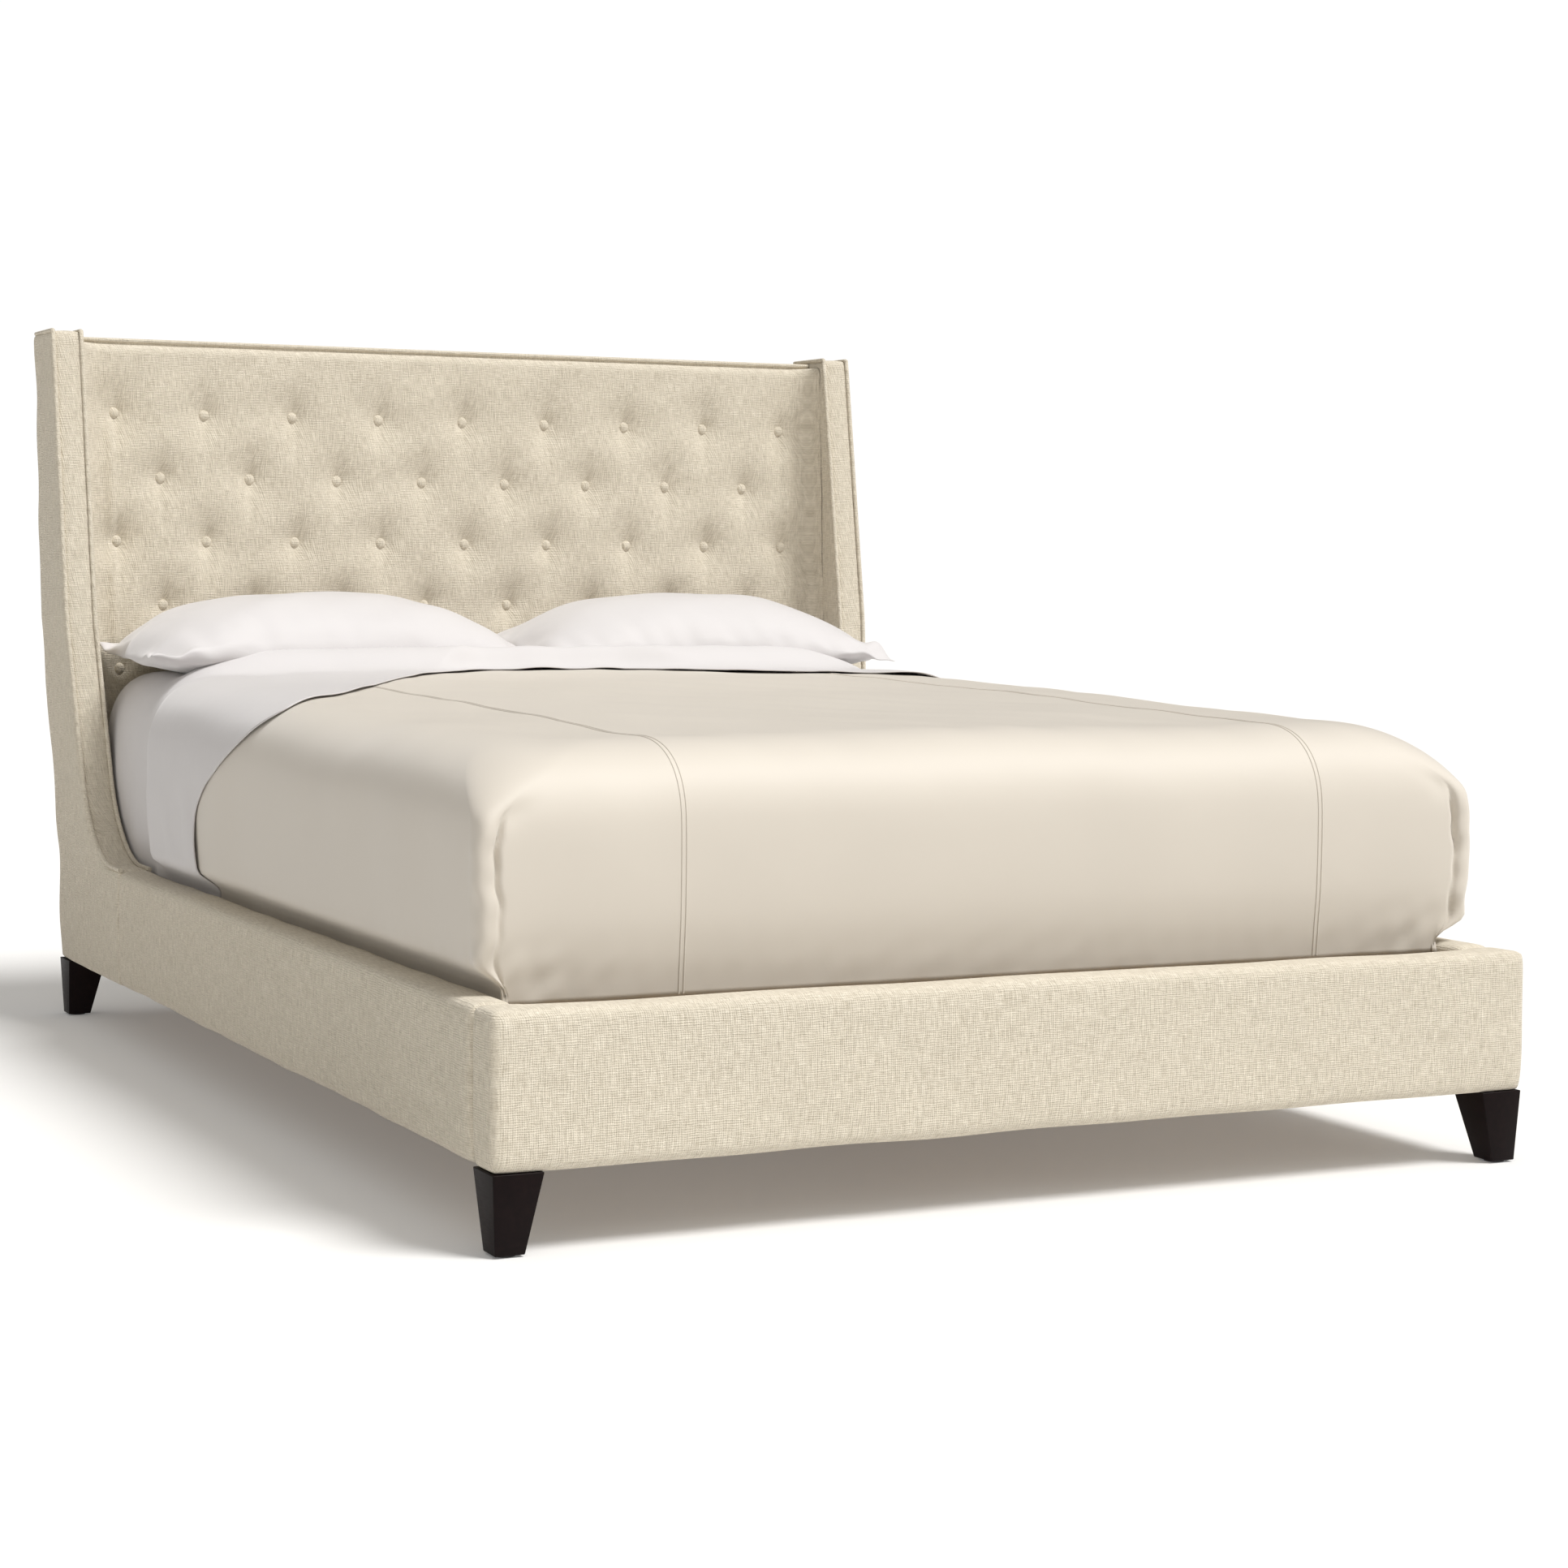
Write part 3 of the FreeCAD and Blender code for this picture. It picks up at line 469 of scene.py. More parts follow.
looks = {
    "linen": makeLinen(),
    "white_cotton": makeCotton("whitePercale", (0.635, 0.61, 0.605, 1), 1.0, 0.35, 0.62),
    "coverlet_cotton": makeCotton("creamSateen", (0.655, 0.60, 0.52, 1), 0.35, 0.35, 0.6),
    "filling": makeCotton("pillowTicking", (0.85, 0.85, 0.83, 1), 0.8, 0.1, 0.8),
    "dark_wood": makeWood(
        "espressoWood", (0.003, 0.001, 0.0013, 1), (0.009, 0.0035, 0.0035, 1), 0.45, 0.0, 60, 0.12
    ),
    "pine": makeWood("pineTimber", (0.47, 0.3, 0.15, 1), (0.76, 0.58, 0.36, 1), 0.62, 0.0, 45),
    "plywood": makeWood("birchPlywood", (0.5, 0.35, 0.2, 1), (0.74, 0.58, 0.4, 1), 0.6, 0.0, 30),
    "steel": makeSteel(),
    "nylon": makeNylon(),
    "ticking": makeTicking(),
}
print("finishes made")

# CAD nodes that keep their shape take a finish from their slot
for row in frame["record"]["subparts"]:
    node = frame["nodes"][row["node"]]
    node.data.materials.clear()
    node.data.materials.append(looks[row["material_slot"]])


def newTree(name, inputs):
    tree = bpy.data.node_groups.new(name, "GeometryNodeTree")
    tree.interface.new_socket("Geometry", in_out="INPUT", socket_type="NodeSocketGeometry")
    for label, kind in inputs.items():
        tree.interface.new_socket(label, in_out="INPUT", socket_type=kind)
    tree.interface.new_socket("Geometry", in_out="OUTPUT", socket_type="NodeSocketGeometry")
    return tree, tree.nodes.new("NodeGroupInput"), tree.nodes.new("NodeGroupOutput")


def finishTree(tree, given, result, geometry):
    link = tree.links.new
    realize = tree.nodes.new("GeometryNodeRealizeInstances")
    shade = tree.nodes.new("GeometryNodeSetShadeSmooth")
    paint = tree.nodes.new("GeometryNodeSetMaterial")
    link(geometry, realize.inputs[0])
    link(realize.outputs[0], shade.inputs[0])
    link(shade.outputs[0], paint.inputs[0])
    link(given.outputs["Material"], paint.inputs["Material"])
    link(paint.outputs[0], result.inputs[0])


def pipingTree():  # round cord inside a fabric tube, along any path
    tree, given, result = newTree(
        "piping", {"Radius": "NodeSocketFloat", "Sides": "NodeSocketInt", "Material": "NodeSocketMaterial"}
    )
    link = tree.links.new
    path = tree.nodes.new("GeometryNodeMeshToCurve")
    circle = tree.nodes.new("GeometryNodeCurvePrimitiveCircle")
    tube = tree.nodes.new("GeometryNodeCurveToMesh")
    tube.inputs["Fill Caps"].default_value = True
    link(given.outputs["Geometry"], path.inputs[0])
    link(given.outputs["Sides"], circle.inputs["Resolution"])
    link(given.outputs["Radius"], circle.inputs["Radius"])
    link(path.outputs[0], tube.inputs["Curve"])
    link(circle.outputs[0], tube.inputs["Profile Curve"])
    finishTree(tree, given, result, tube.outputs[0])
    return tree


def buttonTree():  # a covered button on every point
    tree, given, result = newTree(
        "buttons",
        {
            "Diameter": "NodeSocketFloat",
            "Thickness": "NodeSocketFloat",
            "Lean": "NodeSocketFloat",
            "Material": "NodeSocketMaterial",
        },
    )
    link = tree.links.new
    ball = tree.nodes.new("GeometryNodeMeshUVSphere")
    ball.inputs["Segments"].default_value = 20
    ball.inputs["Rings"].default_value = 12
    ball.inputs["Radius"].default_value = 0.5
    squash = tree.nodes.new("ShaderNodeCombineXYZ")
    link(given.outputs["Diameter"], squash.inputs[0])
    link(given.outputs["Thickness"], squash.inputs[1])
    link(given.outputs["Diameter"], squash.inputs[2])
    turn = tree.nodes.new("ShaderNodeCombineXYZ")
    link(given.outputs["Lean"], turn.inputs[0])
    spread = tree.nodes.new("GeometryNodeInstanceOnPoints")
    link(given.outputs["Geometry"], spread.inputs["Points"])
    link(ball.outputs["Mesh"], spread.inputs["Instance"])
    link(turn.outputs[0], spread.inputs["Rotation"])
    link(squash.outputs[0], spread.inputs["Scale"])
    finishTree(tree, given, result, spread.outputs[0])
    return tree


def runTree(name, tree, points, edges, settings):
    mesh = bpy.data.meshes.new(name)
    mesh.from_pydata([tuple(p) for p in points], edges, [])
    piece = addObject(name, mesh)
    growth = piece.modifiers.new("growth", "NODES")
    growth.node_group = tree
    for item in tree.interface.items_tree:
        if item.in_out == "INPUT" and item.name in settings:
            growth[item.identifier] = settings[item.name]
    return bakeDown(piece)


pipeTree = pipingTree()
studTree = buttonTree()


def piping(name, paths, radius, material, sides=10):  # one piece from one or more open paths
    points, edges = [], []
    for path in paths:
        start = len(points)
        points += list(path)
        edges += [(start + i, start + i + 1) for i in range(len(path) - 1)]
    settings = {"Radius": radius, "Sides": sides, "Material": material}
    return runTree(name, pipeTree, points, edges, settings)


def headPlace(across, rise, forward):  # from the leaning headboard's own axes to the bed's
    lean, up = math.sin(rakeAngle), math.cos(rakeAngle)
    return np.stack(
        [
            across,
            bed["backBase"] + rise * lean - forward * up,
            bed["railBottom"] + rise * up + forward * lean,
        ],
        axis=-1,
    )


def headHalfAt(rise):  # half the width between the wings at a height
    grown = smoothStep(0.211, 0.661, rise) * bed["flare"]
    return bed["sideInner"] - 0.001 + grown


tufting = {
    "front": 0.092,
    "back": 0.033,
    "bottom": 0.15,
    "spacing": 0.18,
    "pitch": 0.1235,
    "drop": 0.14,
    "cove": 0.052,
    "roll": 0.02,
    "columns": 360,
    "rows": 200,
}


def buttonPlaces():
    for rank in range(5):
        count = 9 - rank % 2
        for i in range(count):
            across = tufting["spacing"] * (i - (count - 1) / 2)
            yield across, headTop - tufting["drop"] - rank * tufting["pitch"]


def tuftDepth(across, rise):  # how far the surface is drawn in
    depth = np.zeros_like(across)
    for bx, bz in buttonPlaces():
        side = np.abs(across - bx)
        up = rise - bz
        reach = np.where(up > 0, 0.050, 0.105)
        radius = np.hypot(side, up)
        crease = np.exp(-((side / 0.013) ** 1.4) - (np.abs(up) / reach) ** 2)
        cone = np.exp(-((radius / 0.018) ** 1.3))
        bowl = np.exp(-((radius / 0.050) ** 2))
        depth = depth + 0.0045 * crease + 0.0080 * cone + 0.0115 * bowl
    return depth


def padFront(across, rise):
    half = headHalfAt(rise)
    edge = half - np.abs(across)
    forward = tufting["front"] - tuftDepth(across, rise)
    cove = tufting["cove"]
    inside = np.clip(cove - edge - 0.0015, 0, cove)
    forward = forward + cove - np.sqrt(np.maximum(cove**2 - inside**2, 0))
    top = headTop - 0.007 - rise
    roll = tufting["roll"]
    over = np.clip(roll - top, 0, roll)
    forward = forward - (roll - np.sqrt(np.maximum(roll**2 - over**2, 0))) * 0.75
    points = np.stack([across.ravel(), rise.ravel(), np.zeros(across.size)], axis=-1)
    ridge = 0.0035 * np.exp(-(((edge - 0.062) / 0.011) ** 2)) * smoothStep(0.06, 0.16, top)
    return forward + ridge + 0.0012 * ripple(points, 0.11, 5).reshape(across.shape)


def makePad():
    top = headTop - 0.007
    share = np.linspace(-1, 1, tufting["columns"])
    share = np.sign(share) * (1 - (1 - np.abs(share)) ** 1.5)
    rise = np.concatenate(
        [
            np.linspace(tufting["bottom"], top - 0.024, tufting["rows"]),
            top - 0.024 * (1 - np.linspace(0, 1, 9)[1:]),
        ]
    )
    share, rise = np.meshgrid(share, rise)
    across = share * headHalfAt(rise)
    grid = headPlace(across, rise, padFront(across, rise))
    lean, up = math.sin(rakeAngle), math.cos(rakeAngle)

    def behind(point):  # the same point, straight back on the plywood
        rise = (point[1] - bed["backBase"]) * lean + (point[2] - bed["railBottom"]) * up
        return headPlace(point[0], rise, tufting["back"])

    pad = gridMesh("tuftedPad", grid, behind)
    return smoothShade(pad, 60)


pad = makePad()
settle(pad, "bed", "linen", "headboard_tufted_pad")

places = np.array(list(buttonPlaces()))
seats = np.array([padFront(np.array([a]), np.array([b]))[0] for a, b in places]) + 0.003
buttons = runTree(
    "tuftingButtons",
    studTree,
    headPlace(places[:, 0], places[:, 1], seats),
    [],
    {"Diameter": 0.022, "Thickness": 0.013, "Lean": -rakeAngle, "Material": looks["linen"]},
)
settle(buttons, "bed", "linen", "tufting_buttons")


def makeHeadEdges():  # fabric band over the top, and the piping along it
    half = headHalfAt(np.array(headTop))
    band = prism(
        "headTopBand",
        [
            (-0.0022, headTop - 0.03),
            (0.079, headTop - 0.03),
            (0.079, headTop + 0.0016),
            (-0.0022, headTop + 0.0016),
        ],
        -half,
        half,
        lambda forward, rise, across: headPlace(across, rise, forward),
    )
    band = smoothShade(band, 40)
    across = np.linspace(-half + 0.001, half - 0.001, 120)
    level = np.full_like(across, headTop)
    front = headPlace(across, level, np.full_like(across, 0.0795))
    back = headPlace(across, level, np.full_like(across, -0.0005))
    welt = piping("headTopPiping", [front, back], 0.0042, looks["linen"])
    return band, welt


headBand, headWelt = makeHeadEdges()
settle(headBand, "bed", "linen", "headboard_top_welt")
settle(headWelt, "bed", "linen")


def makeHeadBack():  # fabric stretched over the back, turned in and stitched all round
    columns, rows = 120, 90
    share, rise = np.meshgrid(np.linspace(-1, 1, columns), np.linspace(0.004, headTop - 0.004, rows))
    across = share * headHalfAt(rise)
    edge = np.minimum(headHalfAt(rise) - np.abs(across), np.minimum(rise, headTop - rise))
    points = np.stack([across.ravel(), rise.ravel(), np.zeros(across.size)], axis=-1)
    puff = 0.004 * smoothStep(0, 0.03, edge) + 0.0008 * ripple(points, 0.25, 11).reshape(across.shape)
    grid = headPlace(across, rise, 0.002 - puff)
    lean, up = math.sin(rakeAngle), math.cos(rakeAngle)

    def inward(point):
        rise = (point[1] - bed["backBase"]) * lean + (point[2] - bed["railBottom"]) * up
        return headPlace(point[0], rise, 0.0025)

    back = gridMesh("headboardBack", grid, inward)
    return smoothShade(back, 60)


settle(makeHeadBack(), "bed", "linen", "headboard_back_cover")
print("headboard made")

wing = {"topDepth": 0.142, "kneeDepth": 0.246, "sweep": 0.185, "bevel": 0.007, "voxel": 0.006}


def wingFront(step=0.012):  # the front edge in side view, from the seam up to the top
    lean = (bed["railTop"] - bed["railBottom"]) * math.tan(rakeAngle)
    knee = (bed["backBase"] - wing["kneeDepth"] + lean, bed["railTop"])
    top = (bed["backTop"] - wing["topDepth"], bed["headHeight"])
    slope = Vector((top[0] - knee[0], top[1] - knee[1])).normalized()
    shelf = Vector((-1, 0))
    angle = shelf.angle(slope)
    reach = wing["sweep"] / math.tan(angle / 2)
    start = Vector(knee) + shelf * reach
    end = Vector(knee) + slope * reach
    centre = start + Vector((0, wing["sweep"]))
    first = math.atan2(start.y - centre.y, start.x - centre.x)
    last = math.atan2(end.y - centre.y, end.x - centre.x)
    points = [(bed["seamY"], bed["railTop"])]
    count = max(2, int((start.x - bed["seamY"]) / step))
    points += [(bed["seamY"] + (start.x - bed["seamY"]) * i / count, bed["railTop"]) for i in range(1, count)]
    turns = 24
    for i in range(turns + 1):
        at = first + (last - first) * i / turns
        points.append((centre.x + wing["sweep"] * math.cos(at), centre.y + wing["sweep"] * math.sin(at)))
    count = int((Vector(top) - end).length / (2 * step))
    points += [tuple(end.lerp(Vector(top), i / count)) for i in range(1, count + 1)]
    return points


def flareAt(z):
    return bed["flare"] * np.clip((np.asarray(z) - bed["railTop"]) / 0.45, 0, 1)


def makeWing():
    front = wingFront()
    outline = front + [
        (bed["backTop"], bed["headHeight"]),
        (bed["backBase"], bed["railBottom"]),
        (bed["seamY"], bed["railBottom"]),
    ]
    piece = prism(
        "wingCoverRight", outline, bed["sideInner"], bed["halfWidth"], lambda a, b, c: (c, a, b)
    )
    piece = soften(piece, wing["bevel"], wing["voxel"])
    points = readPoints(piece.data)
    normals = readPoints(piece.data, "normals")
    sides = np.abs(normals[:, 0])
    wave = 0.0012 * ripple(points, 0.16, 21) * sides
    middle = (bed["sideInner"] + bed["halfWidth"]) / 2
    band = 1 - ((points[:, 0] - middle) / (bed["halfWidth"] - middle)) ** 2
    crown = 0.0022 * np.clip(band, 0, 1) * (1 - sides)
    points = points + normals * (wave + crown)[:, None]
    points[:, 0] += flareAt(points[:, 2])
    writePoints(piece.data, points)
    return piece


def wingPiping(inner):
    points = np.array(wingFront())
    x = bed["sideInner"] + 0.004 if inner else bed["halfWidth"] - 0.004
    lift = 0.0015
    tangent = np.gradient(points, axis=0)
    tangent /= np.linalg.norm(tangent, axis=1, keepdims=True)
    out = np.stack([-tangent[:, 1], tangent[:, 0]], axis=-1)
    path = points + out * lift
    last = path[-1]
    over = [(last[0] + s, bed["headHeight"] + lift) for s in np.linspace(0.004, wing["topDepth"] - 0.006, 12)]
    path = np.vstack([path, over])
    return np.stack([x + flareAt(path[:, 1]), path[:, 0], path[:, 1]], axis=-1)


wingRight = makeWing()
wingLeft = mirroredCopy(wingRight, "wingCoverLeft")
for side, cover in (("right", wingRight), ("left", wingLeft)):
    settle(cover, "bed", "linen", f"wing_cover_{side}")
    flip = 1 if side == "right" else -1
    for place in ("outer", "inner"):
        path = wingPiping(place == "inner") * np.array([flip, 1, 1])
        welt = piping(f"{place}Piping{side.capitalize()}", [path], 0.0042, looks["linen"])
        settle(welt, "bed", "linen", f"wing_{place}_welt_{side}")
print("wings made")

rail = {"bevel": 0.011, "voxel": 0.007, "wave": 0.0011}


def upholster(piece, seed):
    points = readPoints(piece.data)
    normals = readPoints(piece.data, "normals")
    middle = (bed["railBottom"] + bed["railTop"]) / 2
    half = (bed["railTop"] - bed["railBottom"]) / 2
    bulge = np.clip(1 - ((points[:, 2] - middle) / half) ** 4, 0, 1) * (1 - np.abs(normals[:, 2]))
    wave = rail["wave"] * ripple(points, 0.2, seed)
    writePoints(piece.data, points + normals * (0.0025 * bulge + wave)[:, None])
    return piece


gap = 0.0006
railOutline = [
    (bed["sideInner"], bed["returnEnd"] + gap),
    (bed["halfWidth"], bed["returnEnd"] + gap),
    (bed["halfWidth"], bed["seamY"] - gap),
    (bed["sideInner"], bed["seamY"] - gap),
]
upright = lambda a, b, c: (a, b, c)
railRight = prism("sideRailCoverRight", railOutline, bed["railBottom"], bed["railTop"], upright)
railRight = upholster(soften(railRight, rail["bevel"], rail["voxel"]), 31)
railLeft = mirroredCopy(railRight, "sideRailCoverLeft")
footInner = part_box("foot_board")[1].y + 0.02
footOutline = [
    (-bed["halfWidth"], bed["footFace"]),
    (bed["halfWidth"], bed["footFace"]),
    (bed["halfWidth"], bed["returnEnd"] - gap),
    (bed["sideInner"], bed["returnEnd"] - gap),
    (bed["sideInner"], footInner),
    (-bed["sideInner"], footInner),
    (-bed["sideInner"], bed["returnEnd"] - gap),
    (-bed["halfWidth"], bed["returnEnd"] - gap),
]
footCover = prism("footCover", footOutline, bed["railBottom"], bed["railTop"], upright)
footCover = upholster(soften(footCover, rail["bevel"], rail["voxel"]), 37)
padded = (
    (railRight, "side_rail_cover_right"),
    (railLeft, "side_rail_cover_left"),
    (footCover, "foot_cover"),
)
for cover, node in padded:
    settle(cover, "bed", "linen", node)
print("rails made")


def easedCopy(node, name, width, slot):
    mesh = frame["nodes"][node].data.copy()
    tidyNormals(mesh, merge=1e-5)
    piece = addObject(name, mesh)
    flat = piece.modifiers.new("flat", "DECIMATE")
    flat.decimate_type = "DISSOLVE"
    flat.angle_limit = math.radians(3)
    ease = piece.modifiers.new("ease", "BEVEL")
    ease.width = width
    ease.segments = 3
    ease.limit_method = "ANGLE"
    ease.angle_limit = math.radians(40)
    piece = smoothShade(bakeDown(piece), 35)
    return settle(piece, "bed", slot, node)


for corner in ("foot_left", "foot_right", "head_left", "head_right"):
    easedCopy(f"leg_{corner}", "leg" + corner.title().replace("_", ""), 0.0016, "dark_wood")

cover = {
    "half": 0.800,
    "foot": mattressBox[0].y - 0.030,
    "head": 0.74,
    "top": mattressBox[1].z + 0.024,
    "bottom": bed["railTop"] - 0.014,
    "sideRoll": 0.125,
    "footRoll": 0.15,
    "drop": 0.115,
    "squareness": 2.35,
    "corner": 0.022,
    "dome": 0.085,
    "thickness": 0.004,
}


def betweenWings(points):  # the covers narrow between the wings and sit fuller on the right
    points = np.array(points)
    narrow = 1 - 0.052 * smoothStep(0.53, 0.665, points[:, 1])
    fuller = 1 + 0.022 * smoothStep(0.0, 0.8, points[:, 0]) * (1 - smoothStep(0.2, 0.6, points[:, 1]))
    points[:, 0] *= narrow * fuller
    low = 1 - smoothStep(bed["railTop"] + 0.004, bed["railTop"] + 0.042, points[:, 2])
    inside = np.minimum(np.abs(points[:, 0]), bed["sideInner"] - 0.005)
    points[:, 0] = np.sign(points[:, 0]) * (np.abs(points[:, 0]) * (1 - low) + inside * low)
    return points


turnDown = {
    "edge": 0.655,
    "sweep": 0.74,
    "sweepFrom": 0.12,
    "sweepTo": 0.78,
    "back": 0.33,
    "backFrom": 0.74,
    "backTo": 0.98,
    "rightShare": 0.3,
    "crest": 0.692,
    "crestRise": 0.042,
    "end": 0.985,
    "lift": 0.0036,
}


def sheetEdge(away):  # where the white sheet ends, by the distance round from the middle
    distance = np.abs(away)
    strength = np.where(away < 0, 1.0, turnDown["rightShare"])
    forwards = turnDown["sweep"] * smoothStep(turnDown["sweepFrom"], turnDown["sweepTo"], distance)
    back = turnDown["back"] * smoothStep(turnDown["backFrom"], turnDown["backTo"], distance)
    return turnDown["edge"] - strength * (forwards - back)


def rollDrop(gone, roll):  # drop below the flat top, where gone is the inset from the side
    share = np.clip(1 - np.asarray(gone) / roll, 0, 1)
    n = cover["squareness"]
    return cover["drop"] * (1 - (1 - share**n) ** (1 / n))


def topHeight(x, y):  # a made-up bed is crowned, and lower towards the foot
    fall = 0.010 * smoothStep(0.2, 1.1, -np.asarray(y))
    rise = 0.012 * smoothStep(-0.5, 0.4, np.asarray(y))
    return cover["top"] - fall + rise - 0.010 * (np.asarray(x) / cover["half"]) ** 2


def bedTop(x, y):  # height of the covered bed anywhere inside its sides
    side = rollDrop(cover["half"] - np.abs(x), cover["sideRoll"])
    foot = rollDrop(np.asarray(y) - cover["foot"], cover["footRoll"])
    drop = cover["drop"]
    both = drop * np.minimum(1, ((side / drop) ** 1.6 + (foot / drop) ** 1.6) ** (1 / 1.6))
    return topHeight(x, y) - both


def edgeProfile():  # share of the roll inset and the drop, from the middle outwards
    n = cover["squareness"]
    flat = [(None, 0.0, s) for s in np.linspace(0, 1, 60)[:-1]]
    turn = []
    for t in np.linspace(0, math.pi / 2, 30):
        share, drop = math.sin(t) ** (2 / n), 1 - math.cos(t) ** (2 / n)
        turn.append((1 - share, cover["drop"] * drop, 1.0))
    height = cover["top"] - cover["bottom"]
    side = [(0.0, cover["drop"] + (height - cover["drop"]) * t, 1.0) for t in np.linspace(0, 1, 30)[1:]]
    return flat + turn + side


def loopPoints(insetX, insetY, radius, columns):  # up one side, round the foot and up the other
    half = cover["half"] - insetX
    foot = cover["foot"] + insetY
    radius = min(radius, max(half, 0.0) * 0.98)
    straight, bend, across = columns
    side = [
        (-half, cover["head"] + (foot + radius - cover["head"]) * (1 - (1 - t) ** 1.6))
        for t in np.linspace(0, 1, straight)
    ]
    turn = [
        (-half + radius - radius * math.cos(t), foot + radius - radius * math.sin(t))
        for t in np.linspace(0, math.pi / 2, bend)[1:]
    ]
    middle = [(-(half - radius) * (1 - t**1.35), foot) for t in np.linspace(0, 1, across)[1:]]
    left = side + turn + middle
    return np.array(left + [(-x, y) for x, y in left[-2::-1]])


fold = {
    "start": 0.572,
    "lip": 0.0075,
    "lipAt": -0.014,
    "lipWidth": 0.011,
    "crease": 0.0115,
    "creaseAt": 0.004,
    "creaseWidth": 0.0042,
}


def cornerFold(t, height, seed):  # the panel's front edge rolls over, with a crease behind it
    started = smoothStep(0.0, 0.045, fold["start"] - height)
    knot = np.exp(-(((height - fold["start"] + 0.012) / 0.016) ** 2))
    wander = 0.003 * np.sin(height * 47 + seed) + 0.0015 * np.sin(height * 131)
    t = t - wander
    lip = fold["lip"] * np.exp(-(((t - fold["lipAt"]) / fold["lipWidth"]) ** 2)) * (started + 0.5 * knot)
    fade = 0.35 + 0.65 * smoothStep(0.40, 0.53, height)
    crease = fold["crease"] * np.exp(-(((t - fold["creaseAt"]) / fold["creaseWidth"]) ** 2)) * started * fade
    tug = 0.0035 * knot * np.exp(-(((t - 0.02) / 0.02) ** 2))
    return lip - crease - tug


def makeCoverlet():
    columns = (150, 26, 120)
    outer = loopPoints(0.0, 0.0, cover["corner"], columns)
    count = len(outer)
    along = np.concatenate([[0], np.cumsum(np.linalg.norm(np.diff(outer, axis=0), axis=1))])
    total = along[-1]
    corner = along[columns[0] + columns[1] - 2]
    tangent = np.gradient(outer, axis=0)
    away = np.column_stack([tangent[:, 1], -tangent[:, 0]])
    away = away / np.linalg.norm(away, axis=1, keepdims=True)
    fullHeight = cover["top"] - cover["bottom"]
    rings = []
    for share, drop, spread in edgeProfile():
        if share is None:
            insetX = cover["sideRoll"] + (cover["half"] - cover["sideRoll"]) * (1 - spread)
            insetY = cover["footRoll"] + (cover["half"] - cover["sideRoll"]) * (1 - spread)
            radius = cover["corner"] + cover["dome"]
        else:
            insetX, insetY = share * cover["sideRoll"], share * cover["footRoll"]
            radius = cover["corner"] + cover["dome"] * float(1 - smoothStep(0.0, 0.115, drop))
        xy = loopPoints(insetX, insetY, radius, columns)
        height = topHeight(xy[:, 0], xy[:, 1])
        stretch = (height - cover["bottom"]) / fullHeight
        z = height - drop * stretch
        if drop > 0:
            side = float(smoothStep(0.03, 0.14, drop))
            low = float(smoothStep(0.24, 0.34, drop))
            bulge = 0.006 * math.sin(math.pi * min(1, drop / fullHeight)) * side
            push = np.full(count, bulge - 0.003 * low)
            push = push + cornerFold(along - corner, z, 0.4) + cornerFold(total - corner - along, z, 2.1)
            flutter = np.column_stack([along, np.zeros(count), z * 0.35])
            push = push + 0.0016 * ripple(flutter, 0.30, 41) * side
            near = np.exp(-((np.minimum(np.abs(along - corner), np.abs(total - corner - along)) / 0.10) ** 2))
            push = push + 0.0016 * ripple(flutter * np.array([1, 1, 2.6]), 0.045, 43) * low * (0.3 + near)
            xy = xy + away * push[:, None]
        rings.append(np.column_stack([xy, z]))
    grid = np.array(rings)
    points = grid.reshape(-1, 3)
    top = smoothStep(0.5, 0.62, points[:, 2])
    points[:, 2] += top * 0.0022 * ripple(points * np.array([1, 0.8, 0.2]), 0.42, 47)
    diagonal = points @ np.array([[0.9, 0.3, 0], [0.4, -0.5, 0], [0, 0, 0.2]])
    points[:, 2] += top * 0.0009 * ripple(diagonal, 0.11, 49)
    piece = gridMesh("creamCoverlet", betweenWings(points).reshape(grid.shape))
    tidyNormals(piece.data, merge=1e-5)
    with editing(piece.data) as work:
        hidden = []
        for face in work.faces:
            middle = face.calc_center_median()
            away = math.copysign(abs(middle.x) + 0.8 * max(0.0, cover["top"] - middle.z), middle.x)
            if middle.y > sheetEdge(np.array(away)) + 0.055:
                hidden.append(face)
        bmesh.ops.delete(work, geom=hidden, context="FACES")
    faceUp(piece.data)
    thick = piece.modifiers.new("thick", "SOLIDIFY")
    thick.thickness = cover["thickness"]
    thick.offset = -1
    return smoothShade(bakeDown(piece))


coverlet = makeCoverlet()
settle(coverlet, "bed", "coverlet_cotton", "coverlet")


def seamPaths(piece, across):  # follows the skin along the top and down the foot
    shape = BVHTree.FromObject(piece, bpy.context.evaluated_depsgraph_get())
    for place in across:
        for offset in (-0.0035, 0.0035):
            path = []
            for y in np.arange(sheetEdge(np.array(place)) + 0.02, cover["foot"] + 0.03, -0.008):
                hit = shape.ray_cast(Vector((place + offset, y, 1)), Vector((0, 0, -1)))[0]
                path.append(hit)
            for z in np.arange(path[-1].z - 0.004, cover["bottom"] + 0.003, -0.006):
                hit = shape.ray_cast(Vector((place + offset, -2, z)), Vector((0, 1, 0)))[0]
                path.append(hit)
            yield path


seamLook = {"across": (-0.505, 0.54), "radius": 0.0013, "sides": 8}
seamLines = list(seamPaths(coverlet, seamLook["across"]))
seams = piping("coverletSeams", seamLines, seamLook["radius"], looks["coverlet_cotton"], seamLook["sides"])
settle(seams, "bed", "coverlet_cotton")


